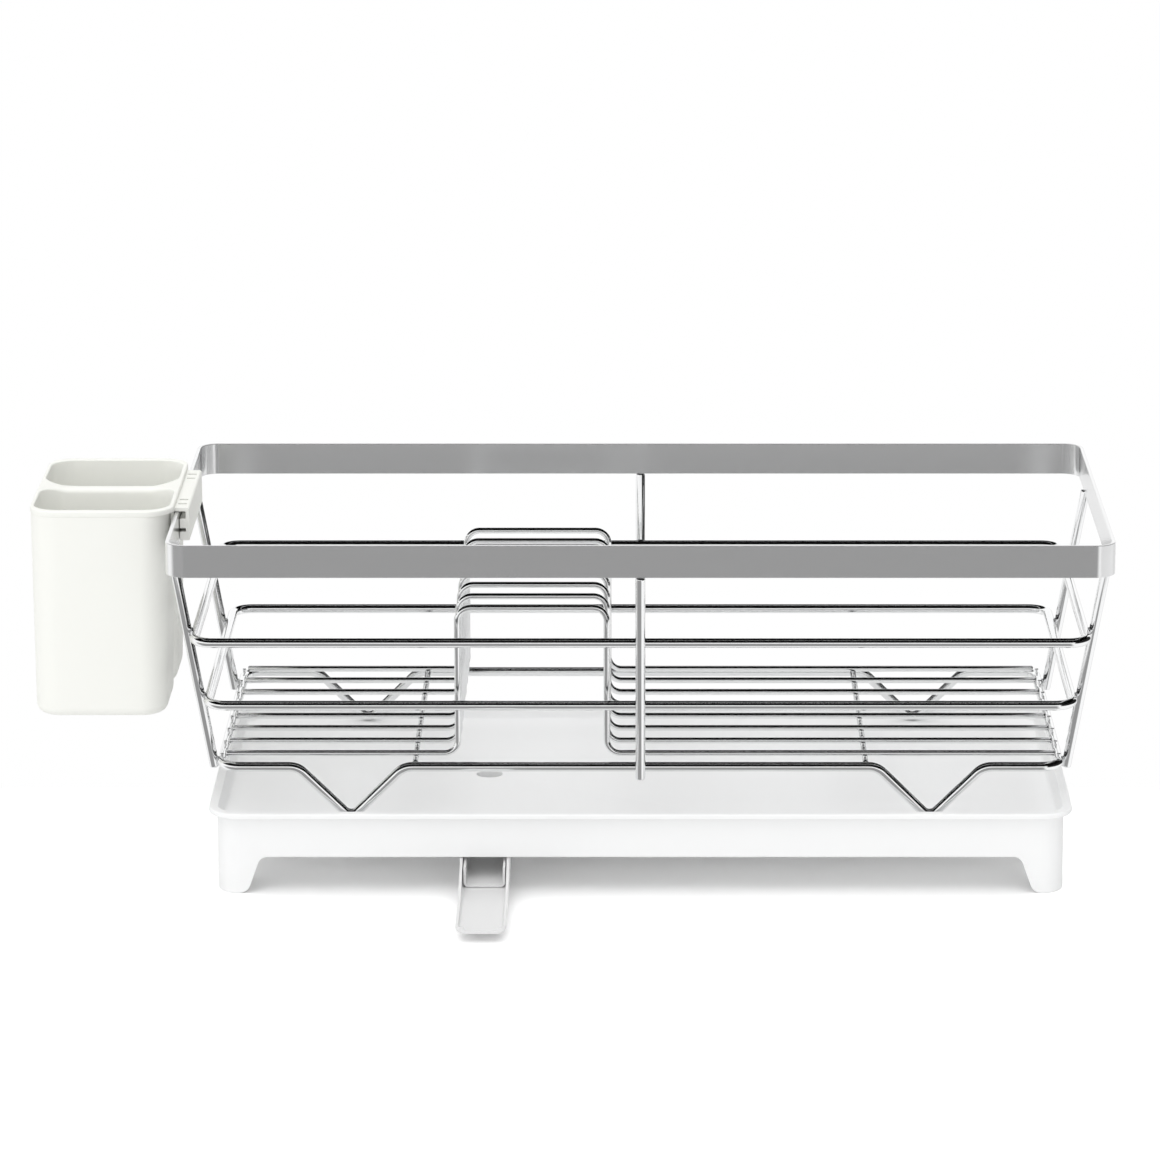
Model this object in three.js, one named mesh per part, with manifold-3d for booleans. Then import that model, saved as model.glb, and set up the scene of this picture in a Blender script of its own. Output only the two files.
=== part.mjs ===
// A dish drainer: a wire rack with a flat steel rim, standing in a white drip tray, with a
// two-cup utensil caddy hooked over its left end and a swivelling, telescoping drain spout.
// Millimetres, +Z up, long side along X, front at -Y, the table at Z = 0.

import * as THREE from 'three';
import { mergeVertices } from 'three/addons/utils/BufferGeometryUtils.js';
import Module from 'manifold-3d';

const wasm = await Module();
wasm.setup();

// Gaps between pieces that touch
const weldGap = 0.3;
const seatGap = 0.3;
const slideGap = 0.6;
const cutOverrun = 1;

// Drip tray
const trayHeight = 44;
const skirtLength = 435.8;
const skirtDepth = 193.2;
const skirtCornerRadius = 12;
const skirtWall = 2;
const lipOverhang = 4.3;
const lipHeight = 3;
const lipRounding = 0.9;
const dishInset = 0.5;
const dishDepth = 6;
const dishWallSlant = 2.6;
const floorThickness = 2;
const funnelDrop = 3.2;
const funnelMargin = 3;
const drainX = -80;
const drainBore = 13.6;

// Cut-outs in the skirt, which leave four corner feet and clear the spout
const footWidth = 15.6;
const footSlant = 7;
const footToeRadius = 6;
const cutFilletRadius = 5;

// Drain spigot below the tray, with the bead that holds the spout
const spigotWall = 1.7;
const beadReach = 1.4;
const beadHeight = 1.8;
const beadClearance = 0.8;

// Swivelling channel
const channelWidth = 21.4;
const channelWall = 1.2;
const channelBottom = 6.9;
const channelHeight = 10.5;
const channelReach = 107;
const channelCornerRadius = 2.4;
const cupWall = 1.8;
const cupLipHeight = 1.8;

// Sliding trough that carries the channel on past the tray
const troughWall = 1.4;
const troughFloor = 1.5;
const troughReach = 176;
const troughLength = 100;
const troughLowWall = 2;
const troughSlopeStart = 96;
const troughSlopeRun = 38;
const troughTabLength = 14;
const troughTabHeight = 1.2;
const troughTabWidth = 1.9;
const troughFrontRadius = 3;

// Flat rim band
const rimLength = 480;
const rimDepth = 222;
const rimTop = 188.5;
const rimHeight = 16.6;
const rimThickness = 2;
const rimCornerRadius = 11;
const rimEdgeBevel = 0.5;

// Upright rods, whose feet stand by the tray's skirt, just below the base ring
const rodWire = 5;
const rodFootDrop = 5.5;
const endRodFootOutset = 1.7;
const endRodInset = 16.7;
const middleRodFootInset = 3.4;

// Rings round the basket
const ringWire = 5;
const baseRingHeight = 65.8;
const lowerRingHeight = 100;
const upperRingHeight = 134.6;
const ringCornerRadius = 10;

// V legs bent into the base ring
const legX = 148.6;
const legSlope = THREE.MathUtils.degToRad(45);
const legShoulderRadius = 11;
const legToeRadius = 5;

// Floor wires with the plate arches
const floorWire = 3.2;
const floorWireCount = 8;
const floorWireSideInset = 9.6;
const floorWireEndInset = 2;
const archMiddleX = -55.5;
const archWidth = 76.5;
const archRise = 77.5;
const archBendRadius = 7;
const crossWireX = 115.6;

// Utensil caddy
const caddyLength = 74;
const caddyDepth = 117;
const caddyRise = 4.5;
const caddyHeight = 110;
const caddyCornerRadius = 14;
const caddyWall = 2;
const webWidth = 9;
const caddyRimGap = 0.3;
const deckHeight = 7;
const deckReach = 2.4;
const bodyInset = 0.3;
const waistDepth = 6;
const bottomRounding = 5;
const drainSlotCount = 3;
const drainSlotWidth = 3;
const drainSlotPitch = 12;
const drainSlotLength = 36;

// Hook of the caddy, an upside-down channel over the rim
const hookLength = 82;
const hookThickness = 1.8;
const hookInnerClearance = 3.4;
const hookInnerDrop = 14;
const hookOuterDrop = 20;
const hookSlotWidth = 1.6;
const hookSlotLength = 3.4;
const hookSlotStart = 23;
const hookSlotPitch = 9;
const hookSlotCount = 2;

// Numbers of flats and steps
const wireSides = 8;
const bendSteps = 4;
const cornerSteps = 5;
const roundSides = 24;

// Finishes
const brushedSteel = { color: 0xa3a4a5, roughness: 0.38, metalness: 1 };
const polishedSteel = { color: 0xd4d5d6, roughness: 0.1, metalness: 1 };
const trayPlastic = { color: 0xf2f3f3, roughness: 0.42, metalness: 0 };
const caddyPlastic = { color: 0xecede4, roughness: 0.5, metalness: 0 };

// Geometry helpers

function meshFrom(positions, indices) {
  const geometry = new THREE.BufferGeometry();
  geometry.setAttribute('position', new THREE.Float32BufferAttribute(positions, 3));
  geometry.setIndex(indices);
  return geometry;
}

// Joins rings of equal point counts into one closed skin. The rings run anticlockwise about
// the way from the first to the last; a closed skin joins the last ring to the first.
function skin(rings, closed = false) {
  const count = rings[0].length;
  const positions = rings.flat().flatMap((point) => point.toArray());
  const indices = [];
  const spans = closed ? rings.length : rings.length - 1;
  for (let ring = 0; ring < spans; ring += 1) {
    const here = ring * count;
    const next = ((ring + 1) % rings.length) * count;
    for (let side = 0; side < count; side += 1) {
      const far = (side + 1) % count;
      indices.push(here + side, here + far, next + far);
      indices.push(here + side, next + far, next + side);
    }
  }
  if (!closed) {
    const last = (rings.length - 1) * count;
    for (let side = 1; side < count - 1; side += 1) {
      indices.push(0, side + 1, side);
      indices.push(last, last + side, last + side + 1);
    }
  }
  return meshFrom(positions, indices);
}

// Points along straight runs between corners, each corner rounded to its own radius.
function roundedPath(corners, closed = false) {
  const path = [];
  corners.forEach(({ at, radius = 0 }, index) => {
    const isEnd = !closed && (index === 0 || index === corners.length - 1);
    if (isEnd || radius === 0) {
      path.push(at.clone());
      return;
    }
    const before = corners[(index + corners.length - 1) % corners.length].at;
    const after = corners[(index + 1) % corners.length].at;
    const inward = at.clone().sub(before).normalize();
    const outward = after.clone().sub(at).normalize();
    const turn = inward.angleTo(outward);
    const toCentre = outward.clone().addScaledVector(inward, -Math.cos(turn)).normalize();
    const start = at.clone().addScaledVector(inward, -radius * Math.tan(turn / 2));
    const centre = start.clone().addScaledVector(toCentre, radius);
    const steps = Math.max(2, Math.round((bendSteps * turn) / (Math.PI / 2)));
    for (let step = 0; step <= steps; step += 1) {
      const angle = (turn * step) / steps;
      path.push(centre.clone()
        .addScaledVector(toCentre, -radius * Math.cos(angle))
        .addScaledVector(inward, radius * Math.sin(angle)));
    }
  });
  return path;
}

// Sweeps a flat section along a path, mitred at every point. The section's x lies across
// the path, away from the first up direction, and its y lies along that up direction.
function sweep(path, section, up, closed = false) {
  const count = path.length;
  const rings = [];
  let normal = up.clone();
  let previous = null;
  path.forEach((point, index) => {
    const before = closed || index > 0 ? path[(index + count - 1) % count] : null;
    const after = closed || index < count - 1 ? path[(index + 1) % count] : null;
    const arrive = (before ? point.clone().sub(before) : after.clone().sub(point)).normalize();
    const leave = (after ? after.clone().sub(point) : point.clone().sub(before)).normalize();
    if (previous) {
      normal.applyQuaternion(new THREE.Quaternion().setFromUnitVectors(previous, arrive));
    }
    normal.addScaledVector(arrive, -normal.dot(arrive)).normalize();
    previous = arrive;
    const across = new THREE.Vector3().crossVectors(normal, arrive);
    const mitre = arrive.clone().add(leave).normalize();
    rings.push(section.map(({ x, y }) => {
      const offset = across.clone().multiplyScalar(x).addScaledVector(normal, y);
      const slide = -offset.dot(mitre) / arrive.dot(mitre);
      return point.clone().add(offset).addScaledVector(arrive, slide);
    }));
  });
  return skin(rings, closed);
}

// A wire's section, whose flats lie a true radius from its middle
function roundSection(diameter) {
  return Array.from({ length: wireSides }, (_, side) => {
    const angle = ((side + 0.5) * 2 * Math.PI) / wireSides;
    const radius = diameter / 2 / Math.cos(Math.PI / wireSides);
    return new THREE.Vector2(radius * Math.cos(angle), radius * Math.sin(angle));
  });
}

function roundedRectangle(length, depth, radius, height, middleX = 0, middleY = 0) {
  const points = [];
  const reach = new THREE.Vector2(length / 2 - radius, depth / 2 - radius);
  [[1, 1], [-1, 1], [-1, -1], [1, -1]].forEach(([signX, signY], corner) => {
    for (let step = 0; step <= cornerSteps; step += 1) {
      const angle = (corner + step / cornerSteps) * (Math.PI / 2);
      points.push(new THREE.Vector3(
        middleX + signX * reach.x + radius * Math.cos(angle),
        middleY + signY * reach.y + radius * Math.sin(angle),
        height,
      ));
    }
  });
  return points;
}

function block(low, high) {
  const size = high.clone().sub(low);
  const middle = high.clone().add(low).divideScalar(2);
  return new THREE.BoxGeometry(size.x, size.y, size.z).translate(middle.x, middle.y, middle.z);
}

function drum(radius, bottom, top, middleX = 0) {
  return new THREE.CylinderGeometry(radius, radius, top - bottom, roundSides)
    .rotateX(Math.PI / 2)
    .translate(middleX, 0, (top + bottom) / 2);
}

function outline(points) {
  return new THREE.Shape(points.map(([x, y]) => new THREE.Vector2(x, y)));
}

// An outline drawn in X and Z, pushed through the model along Y between two depths.
function throughY(shape, front, back) {
  return new THREE.ExtrudeGeometry(shape, { depth: back - front, bevelEnabled: false })
    .rotateX(Math.PI / 2)
    .translate(0, back, 0);
}

// An outline drawn in Y and Z, pushed through the model along X between two places.
function throughX(shape, left, right) {
  const turn = new THREE.Matrix4().makeBasis(
    new THREE.Vector3(0, 1, 0),
    new THREE.Vector3(0, 0, 1),
    new THREE.Vector3(1, 0, 0),
  );
  return new THREE.ExtrudeGeometry(shape, { depth: right - left, bevelEnabled: false })
    .applyMatrix4(turn)
    .translate(left, 0, 0);
}

function solidOf(geometry) {
  const bare = geometry.clone();
  bare.deleteAttribute('normal');
  bare.deleteAttribute('uv');
  const merged = mergeVertices(bare);
  return new wasm.Manifold(new wasm.Mesh({
    numProp: 3,
    vertProperties: Float32Array.from(merged.attributes.position.array),
    triVerts: Uint32Array.from(merged.index.array),
  }));
}

function geometryOf(solid) {
  const { vertProperties, triVerts } = solid.getMesh();
  return meshFrom(Array.from(vertProperties), Array.from(triVerts));
}

const drainer = new THREE.Group();

function addPiece(name, geometry, finish) {
  geometry.computeVertexNormals();
  const piece = new THREE.Mesh(geometry, new THREE.MeshStandardMaterial(finish));
  piece.name = name;
  drainer.add(piece);
  return piece;
}

// Heights that the tray and its spout share

const channelTop = channelBottom + channelHeight;
const channelFloor = channelBottom + channelWall;
const troughBottom = channelBottom - seatGap - troughFloor;
const troughTabBottom = channelTop + seatGap;
const troughTop = troughTabBottom + troughTabHeight;
const cutHeight = troughTop + slideGap;
const beadTop = channelTop - cupLipHeight - beadClearance;
const spigotEnd = beadTop - beadHeight;

// Drip tray: skirt with lip, shallow dish with a funnel to the drain, spigot and four feet

const skirtTop = trayHeight - lipHeight;
const dishFloor = trayHeight - dishDepth;
const floorUnderside = dishFloor - floorThickness;
const spigotRadius = drainBore / 2 + spigotWall;
const beadRadius = spigotRadius + beadReach;

function traySlab(inset, height) {
  return roundedRectangle(
    skirtLength - 2 * inset,
    skirtDepth - 2 * inset,
    skirtCornerRadius - inset,
    height,
  );
}

// The dish narrows towards its floor, and the funnel below it is a shallow upside-down pyramid
// whose ridges run at one angle from the drain to the two left corners.
function funnel(drop) {
  const margin = dishInset + dishWallSlant + funnelMargin;
  const halfLength = drainX + skirtLength / 2 - margin;
  const halfDepth = skirtDepth / 2 - margin;
  const middle = dishFloor - drop;
  const corners = [[1, 1], [-1, 1], [-1, -1], [1, -1]].map(([signX, signY]) => new THREE.Vector3(
    drainX + signX * halfLength,
    signY * halfDepth,
    middle,
  ));
  const apex = new THREE.Vector3(drainX, 0, middle - funnelDrop);
  const positions = [...corners, apex].flatMap((point) => point.toArray());
  return meshFrom(positions, [0, 1, 2, 0, 2, 3, 1, 0, 4, 2, 1, 4, 3, 2, 4, 0, 3, 4]);
}

function footCut(halfOuter) {
  const foot = halfOuter - footWidth;
  const toe = foot + footToeRadius;
  const top = roundedPath([
    { at: new THREE.Vector3(-toe, -cutOverrun, 0) },
    { at: new THREE.Vector3(-toe, 0, 0) },
    { at: new THREE.Vector3(-foot, 0, 0), radius: footToeRadius },
    { at: new THREE.Vector3(-foot + footSlant, cutHeight, 0), radius: cutFilletRadius },
    { at: new THREE.Vector3(foot - footSlant, cutHeight, 0), radius: cutFilletRadius },
    { at: new THREE.Vector3(foot, 0, 0), radius: footToeRadius },
    { at: new THREE.Vector3(toe, 0, 0) },
    { at: new THREE.Vector3(toe, -cutOverrun, 0) },
  ]);
  return new THREE.Shape(top.map(({ x, y }) => new THREE.Vector2(x, y)));
}

function makeTray() {
  const halfLength = skirtLength / 2 + cutOverrun;
  const halfDepth = skirtDepth / 2 + cutOverrun;
  const skirt = solidOf(skin([traySlab(0, 0), traySlab(0, trayHeight)]));
  const lip = solidOf(skin([
    traySlab(-lipOverhang + lipRounding, skirtTop),
    traySlab(-lipOverhang, skirtTop + lipRounding),
    traySlab(-lipOverhang, trayHeight - lipRounding),
    traySlab(-lipOverhang + lipRounding, trayHeight),
  ]));
  const dish = solidOf(skin([
    traySlab(dishInset + dishWallSlant, dishFloor),
    traySlab(dishInset, trayHeight),
    traySlab(dishInset, trayHeight + cutOverrun),
  ]));
  const bowl = dish.add(solidOf(funnel(0)));
  const spigot = solidOf(drum(spigotRadius, spigotEnd, dishFloor - funnelDrop, drainX))
    .add(solidOf(drum(beadRadius, spigotEnd, beadTop, drainX)));
  const under = solidOf(skin([traySlab(skirtWall, -cutOverrun), traySlab(skirtWall, floorUnderside)]))
    .subtract(solidOf(funnel(floorThickness)))
    .subtract(spigot);
  const sideCut = solidOf(throughY(footCut(skirtLength / 2), -halfDepth, halfDepth));
  const endCut = solidOf(throughX(footCut(skirtDepth / 2), -halfLength, halfLength));
  const bore = solidOf(drum(drainBore / 2, 0, trayHeight, drainX));
  return geometryOf(skirt.add(lip).subtract(bowl).subtract(under)
    .subtract(sideCut).subtract(endCut).subtract(bore));
}

addPiece('drip_tray', makeTray(), trayPlastic);

// Swivelling channel: a cup snapped round the spigot's bead, open to a channel of U section

const cupLipRadius = spigotRadius + seatGap;
const cupInnerRadius = beadRadius + slideGap;
const cupRadius = cupInnerRadius + cupWall;

function rounded(points, radius) {
  const path = roundedPath(points.map(([x, y, round = false]) => ({
    at: new THREE.Vector3(x, y, 0),
    radius: round ? radius : 0,
  })), true);
  return new THREE.Shape(path.map(({ x, y }) => new THREE.Vector2(x, y)));
}

function openChannel(width, bottom, top, wall, floor, radius) {
  const outer = width / 2;
  const inner = outer - wall;
  return rounded([
    [-outer, top], [-outer, bottom, true], [outer, bottom, true], [outer, top],
    [inner, top], [inner, bottom + floor, true], [-inner, bottom + floor, true], [-inner, top],
  ], radius);
}

function makeChannel() {
  const profile = [
    [0, channelBottom], [cupRadius, channelBottom], [cupRadius, channelTop],
    [cupLipRadius, channelTop], [cupLipRadius, channelTop - cupLipHeight],
    [cupInnerRadius, channelTop - cupLipHeight], [cupInnerRadius, channelFloor], [0, channelFloor],
  ].map(([x, y]) => new THREE.Vector2(x, y));
  const cup = solidOf(new THREE.LatheGeometry(profile, roundSides).rotateX(Math.PI / 2));
  const shape = openChannel(
    channelWidth, channelBottom, channelTop, channelWall, channelWall, channelCornerRadius,
  );
  const arm = solidOf(throughY(shape, -channelReach, -cupInnerRadius + channelWall))
    .subtract(solidOf(drum(cupInnerRadius, channelFloor, channelTop - cupLipHeight)));
  const inner = channelWidth / 2 - channelWall - channelCornerRadius / 2;
  const mouth = solidOf(block(
    new THREE.Vector3(-inner, -cupRadius - cutOverrun, channelFloor),
    new THREE.Vector3(inner, 0, channelTop - cupLipHeight),
  ));
  return geometryOf(cup.add(arm).subtract(mouth)).translate(drainX, 0, 0);
}

addPiece('swivel_channel', makeChannel(), trayPlastic);

// Sliding trough: an outer U whose walls drop to a low edge at the front, held on the channel
// by two tabs over its walls at the back

const troughInnerWidth = channelWidth + 2 * slideGap;
const troughWidth = troughInnerWidth + 2 * troughWall;

function makeTrough() {
  const front = -troughReach;
  const back = front + troughLength;
  const shape = openChannel(
    troughWidth, troughBottom, troughTop, troughWall, troughFloor, channelCornerRadius,
  );
  let trough = solidOf(throughY(shape, front, back));
  const lowTop = troughBottom + troughFloor + troughLowWall;
  const slope = outline([
    [-troughSlopeStart, troughTop], [-troughSlopeStart, troughTop + cutOverrun],
    [front - cutOverrun, troughTop + cutOverrun], [front - cutOverrun, lowTop],
    [-troughSlopeStart - troughSlopeRun, lowTop],
  ]);
  trough = trough.subtract(solidOf(throughX(slope, -troughWidth, troughWidth)));
  for (const side of [-1, 1]) {
    const edge = (side * troughInnerWidth) / 2;
    const tabEdges = [edge + side * (troughWall / 2), edge - side * troughTabWidth];
    trough = trough.add(solidOf(block(
      new THREE.Vector3(Math.min(...tabEdges), back - troughTabLength, troughTabBottom),
      new THREE.Vector3(Math.max(...tabEdges), back, troughTop),
    )));
  }
  const frontShape = rounded([
    [-troughWidth / 2, front, true], [troughWidth / 2, front, true],
    [troughWidth / 2, back], [-troughWidth / 2, back],
  ], troughFrontRadius);
  const plan = new THREE.ExtrudeGeometry(frontShape, { depth: troughTop, bevelEnabled: false });
  return geometryOf(trough.intersect(solidOf(plan))).translate(drainX, 0, 0);
}

addPiece('spout_trough', makeTrough(), trayPlastic);

// Wire rack

const rimBottom = rimTop - rimHeight;
const rodFootHeight = baseRingHeight - rodFootDrop;
const rodTopHeight = rimBottom - weldGap;
const endRodFootX = skirtLength / 2 + endRodFootOutset;
const endRodTopX = rimLength / 2 - rimThickness / 2;
const middleRodFootY = skirtDepth / 2 - middleRodFootInset;
const middleRodTopY = rimDepth / 2 - rimThickness / 2;

function makeRim() {
  const bevel = rimEdgeBevel;
  const halfThickness = rimThickness / 2;
  const halfHeight = rimHeight / 2;
  const section = [
    [halfThickness, -halfHeight + bevel], [halfThickness, halfHeight - bevel],
    [halfThickness - bevel, halfHeight], [-halfThickness + bevel, halfHeight],
    [-halfThickness, halfHeight - bevel], [-halfThickness, -halfHeight + bevel],
    [-halfThickness + bevel, -halfHeight], [halfThickness - bevel, -halfHeight],
  ].map(([x, y]) => new THREE.Vector2(x, y));
  const path = loopPath(
    (rimLength - rimThickness) / 2,
    (rimDepth - rimThickness) / 2,
    rimTop - halfHeight,
    rimCornerRadius - halfThickness,
  );
  return sweep(path, section, new THREE.Vector3(0, 0, 1), true);
}

// A level loop, anticlockwise from its front left corner
function loopPath(halfLength, halfDepth, height, radius, frontCorners = [], backCorners = []) {
  return roundedPath([
    { at: new THREE.Vector3(-halfLength, -halfDepth, height), radius },
    ...frontCorners,
    { at: new THREE.Vector3(halfLength, -halfDepth, height), radius },
    { at: new THREE.Vector3(halfLength, halfDepth, height), radius },
    ...backCorners,
    { at: new THREE.Vector3(-halfLength, halfDepth, height), radius },
  ], true);
}

// The rods lean outwards as they rise, and each ring lies just inside them at its own height.
function riseShare(height) {
  return (height - rodFootHeight) / (rodTopHeight - rodFootHeight);
}

function insideRods(footPlace, topPlace, height) {
  const lean = Math.atan((topPlace - footPlace) / (rodTopHeight - rodFootHeight));
  const axis = THREE.MathUtils.lerp(footPlace, topPlace, riseShare(height));
  return axis - rodWire / 2 / Math.cos(lean) - weldGap - ringWire / 2;
}

function ringHalfLength(height) {
  return insideRods(endRodFootX, endRodTopX, height);
}

function ringHalfDepth(height) {
  return insideRods(middleRodFootY, middleRodTopY, height);
}

function makeRing(height, frontCorners = [], backCorners = []) {
  const path = loopPath(
    ringHalfLength(height), ringHalfDepth(height), height, ringCornerRadius,
    frontCorners, backCorners,
  );
  return sweep(path, roundSection(ringWire), new THREE.Vector3(0, 0, 1), true);
}

// A V leg dips from the base ring to the dish floor, with a rounded toe.
const baseRingHalfDepth = ringHalfDepth(baseRingHeight);
const toeHeight = dishFloor + seatGap + ringWire / 2;
const toeCutBack = legToeRadius * (1 / Math.cos(legSlope) - 1);
const legDrop = baseRingHeight - toeHeight + toeCutBack;
const legHalfSpan = legDrop / Math.tan(legSlope);

function legCorners(middleX, depth, direction) {
  const shoulder = (side) => ({
    at: new THREE.Vector3(middleX + side * legHalfSpan, depth, baseRingHeight),
    radius: legShoulderRadius,
  });
  const toe = {
    at: new THREE.Vector3(middleX, depth, baseRingHeight - legDrop),
    radius: legToeRadius,
  };
  return [shoulder(-direction), toe, shoulder(direction)];
}

function makeBaseRing() {
  const depth = baseRingHalfDepth;
  return makeRing(
    baseRingHeight,
    [...legCorners(-legX, -depth, 1), ...legCorners(legX, -depth, 1)],
    [...legCorners(legX, depth, -1), ...legCorners(-legX, depth, -1)],
  );
}

// A rod between its foot and top places, cut level at both ends
function makeRod(foot, top) {
  const rings = [foot, top].map(({ x, y }, end) => (
    roundSection(rodWire).map((point) => new THREE.Vector3(
      x + point.x,
      y + point.y,
      end === 0 ? rodFootHeight : rodTopHeight,
    ))
  ));
  return skin(rings);
}

addPiece('rim_band', makeRim(), brushedSteel);
addPiece('base_ring', makeBaseRing(), polishedSteel);
addPiece('lower_ring', makeRing(lowerRingHeight), polishedSteel);
addPiece('upper_ring', makeRing(upperRingHeight), polishedSteel);

const endRodY = baseRingHalfDepth - endRodInset;
for (const [sideName, side] of [['left', -1], ['right', 1]]) {
  for (const [rowName, row] of [['front', -1], ['rear', 1]]) {
    const foot = new THREE.Vector2(side * endRodFootX, row * endRodY);
    const top = new THREE.Vector2(side * endRodTopX, row * endRodY);
    addPiece(`rod_${sideName}_${rowName}`, makeRod(foot, top), polishedSteel);
  }
}
for (const [rowName, row] of [['front', -1], ['rear', 1]]) {
  const foot = new THREE.Vector2(0, row * middleRodFootY);
  const top = new THREE.Vector2(0, row * middleRodTopY);
  addPiece(`rod_middle_${rowName}`, makeRod(foot, top), polishedSteel);
}

// Floor wires rest on the base ring's ends, each bent up into a plate arch, and two cross
// wires run under them from the front to the back of the base ring.
const floorWireHeight = baseRingHeight + ringWire / 2 + weldGap + floorWire / 2;
const floorWireReach = ringHalfLength(baseRingHeight) - floorWireEndInset;
const crossWireHeight = floorWireHeight - floorWire - weldGap;
const crossWireReach = baseRingHalfDepth - ringWire / 2 - weldGap;
const floorWireSideReach = baseRingHalfDepth - floorWireSideInset;
const floorWirePitch = (2 * floorWireSideReach) / (floorWireCount - 1);

function makeFloorWire(depth) {
  const archLeft = archMiddleX - archWidth / 2;
  const archRight = archMiddleX + archWidth / 2;
  const archTop = floorWireHeight + archRise;
  const corner = (x, z) => ({ at: new THREE.Vector3(x, depth, z), radius: archBendRadius });
  const path = roundedPath([
    corner(-floorWireReach, floorWireHeight),
    corner(archLeft, floorWireHeight),
    corner(archLeft, archTop),
    corner(archRight, archTop),
    corner(archRight, floorWireHeight),
    corner(floorWireReach, floorWireHeight),
  ]);
  return sweep(path, roundSection(floorWire), new THREE.Vector3(0, 0, 1));
}

for (let index = 0; index < floorWireCount; index += 1) {
  const depth = index * floorWirePitch - floorWireSideReach;
  addPiece(`floor_wire_${index + 1}`, makeFloorWire(depth), polishedSteel);
}

for (const [sideName, side] of [['left', -1], ['right', 1]]) {
  const path = [-crossWireReach, crossWireReach].map((depth) => (
    new THREE.Vector3(side * crossWireX, depth, crossWireHeight)
  ));
  const wire = sweep(path, roundSection(floorWire), new THREE.Vector3(0, 0, 1));
  addPiece(`cross_wire_${sideName}`, wire, polishedSteel);
}

// Utensil caddy: two cups side by side under one rim, with a waist between them

const caddyTop = rimTop + caddyRise;
const caddyRight = -rimLength / 2 - caddyRimGap;
const caddyMiddleX = caddyRight - caddyLength / 2;
const caddyBottom = caddyTop - caddyHeight;
const deckBottom = caddyTop - deckHeight;
const bodyRight = caddyRight - deckReach;
const bodyLeft = caddyRight - caddyLength + bodyInset;
const bodyLength = bodyRight - bodyLeft;
const bodyMiddleX = (bodyRight + bodyLeft) / 2;
const hookBottom = rimTop + seatGap;
const hookTop = hookBottom + hookThickness;
const hookOuterX = bodyRight + seatGap;

function lobe(row, inset, height) {
  const depth = caddyDepth / 2;
  const cupDepth = depth - bodyInset;
  return roundedRectangle(
    bodyLength - 2 * inset,
    cupDepth - 2 * inset,
    caddyCornerRadius - inset,
    height,
    bodyMiddleX,
    (row * cupDepth) / 2,
  );
}

function cupHollow(row, inset, height) {
  const frontWall = caddyWall + inset;
  const middleWall = webWidth / 2 + inset;
  const cupDepth = caddyDepth / 2 - bodyInset;
  return roundedRectangle(
    bodyLength - 2 * frontWall,
    cupDepth - frontWall - middleWall,
    caddyCornerRadius - frontWall,
    height,
    bodyMiddleX,
    row * (middleWall + (cupDepth - frontWall - middleWall) / 2),
  );
}

// The edges round the cups' bottoms follow a quarter circle in a few steps.
function bottomRings(ringAt, bottom) {
  const steps = [0, 1, 2, 3];
  return steps.map((step) => {
    const angle = (step / (steps.length - 1)) * (Math.PI / 2);
    const inset = bottomRounding * (1 - Math.sin(angle));
    return ringAt(inset, bottom + bottomRounding * (1 - Math.cos(angle)));
  });
}

function makeCaddy() {
  const deck = roundedRectangle(
    caddyLength, caddyDepth, caddyCornerRadius, deckBottom, caddyMiddleX,
  );
  const lift = new THREE.Vector3(0, 0, deckHeight);
  let caddy = solidOf(skin([deck, deck.map((point) => point.clone().add(lift))]));
  caddy = caddy.add(solidOf(block(
    new THREE.Vector3(bodyLeft + waistDepth, -caddyCornerRadius, caddyBottom + bottomRounding),
    new THREE.Vector3(bodyRight - waistDepth, caddyCornerRadius, caddyTop),
  )));
  for (const row of [-1, 1]) {
    caddy = caddy.add(solidOf(skin([
      ...bottomRings((inset, height) => lobe(row, inset, height), caddyBottom),
      lobe(row, 0, caddyTop),
    ])));
  }
  for (const row of [-1, 1]) {
    caddy = caddy.subtract(solidOf(skin([
      ...bottomRings((inset, height) => cupHollow(row, inset, height), caddyBottom + caddyWall),
      cupHollow(row, 0, caddyTop + cutOverrun),
    ])));
    for (let slot = 0; slot < drainSlotCount; slot += 1) {
      const place = (slot - (drainSlotCount - 1) / 2) * drainSlotPitch + (row * caddyDepth) / 4;
      const half = new THREE.Vector2(drainSlotLength / 2, drainSlotWidth / 2);
      caddy = caddy.subtract(solidOf(block(
        new THREE.Vector3(bodyMiddleX - half.x, place - half.y, caddyBottom - cutOverrun),
        new THREE.Vector3(bodyMiddleX + half.x, place + half.y, caddyBottom + 2 * caddyWall),
      )));
    }
  }
  const seat = block(
    new THREE.Vector3(bodyRight, -hookLength / 2 - seatGap, deckBottom - cutOverrun),
    new THREE.Vector3(caddyRight + cutOverrun, hookLength / 2 + seatGap, hookTop + seatGap),
  );
  return geometryOf(caddy.subtract(solidOf(seat)));
}

addPiece('utensil_caddy', makeCaddy(), caddyPlastic);

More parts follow.
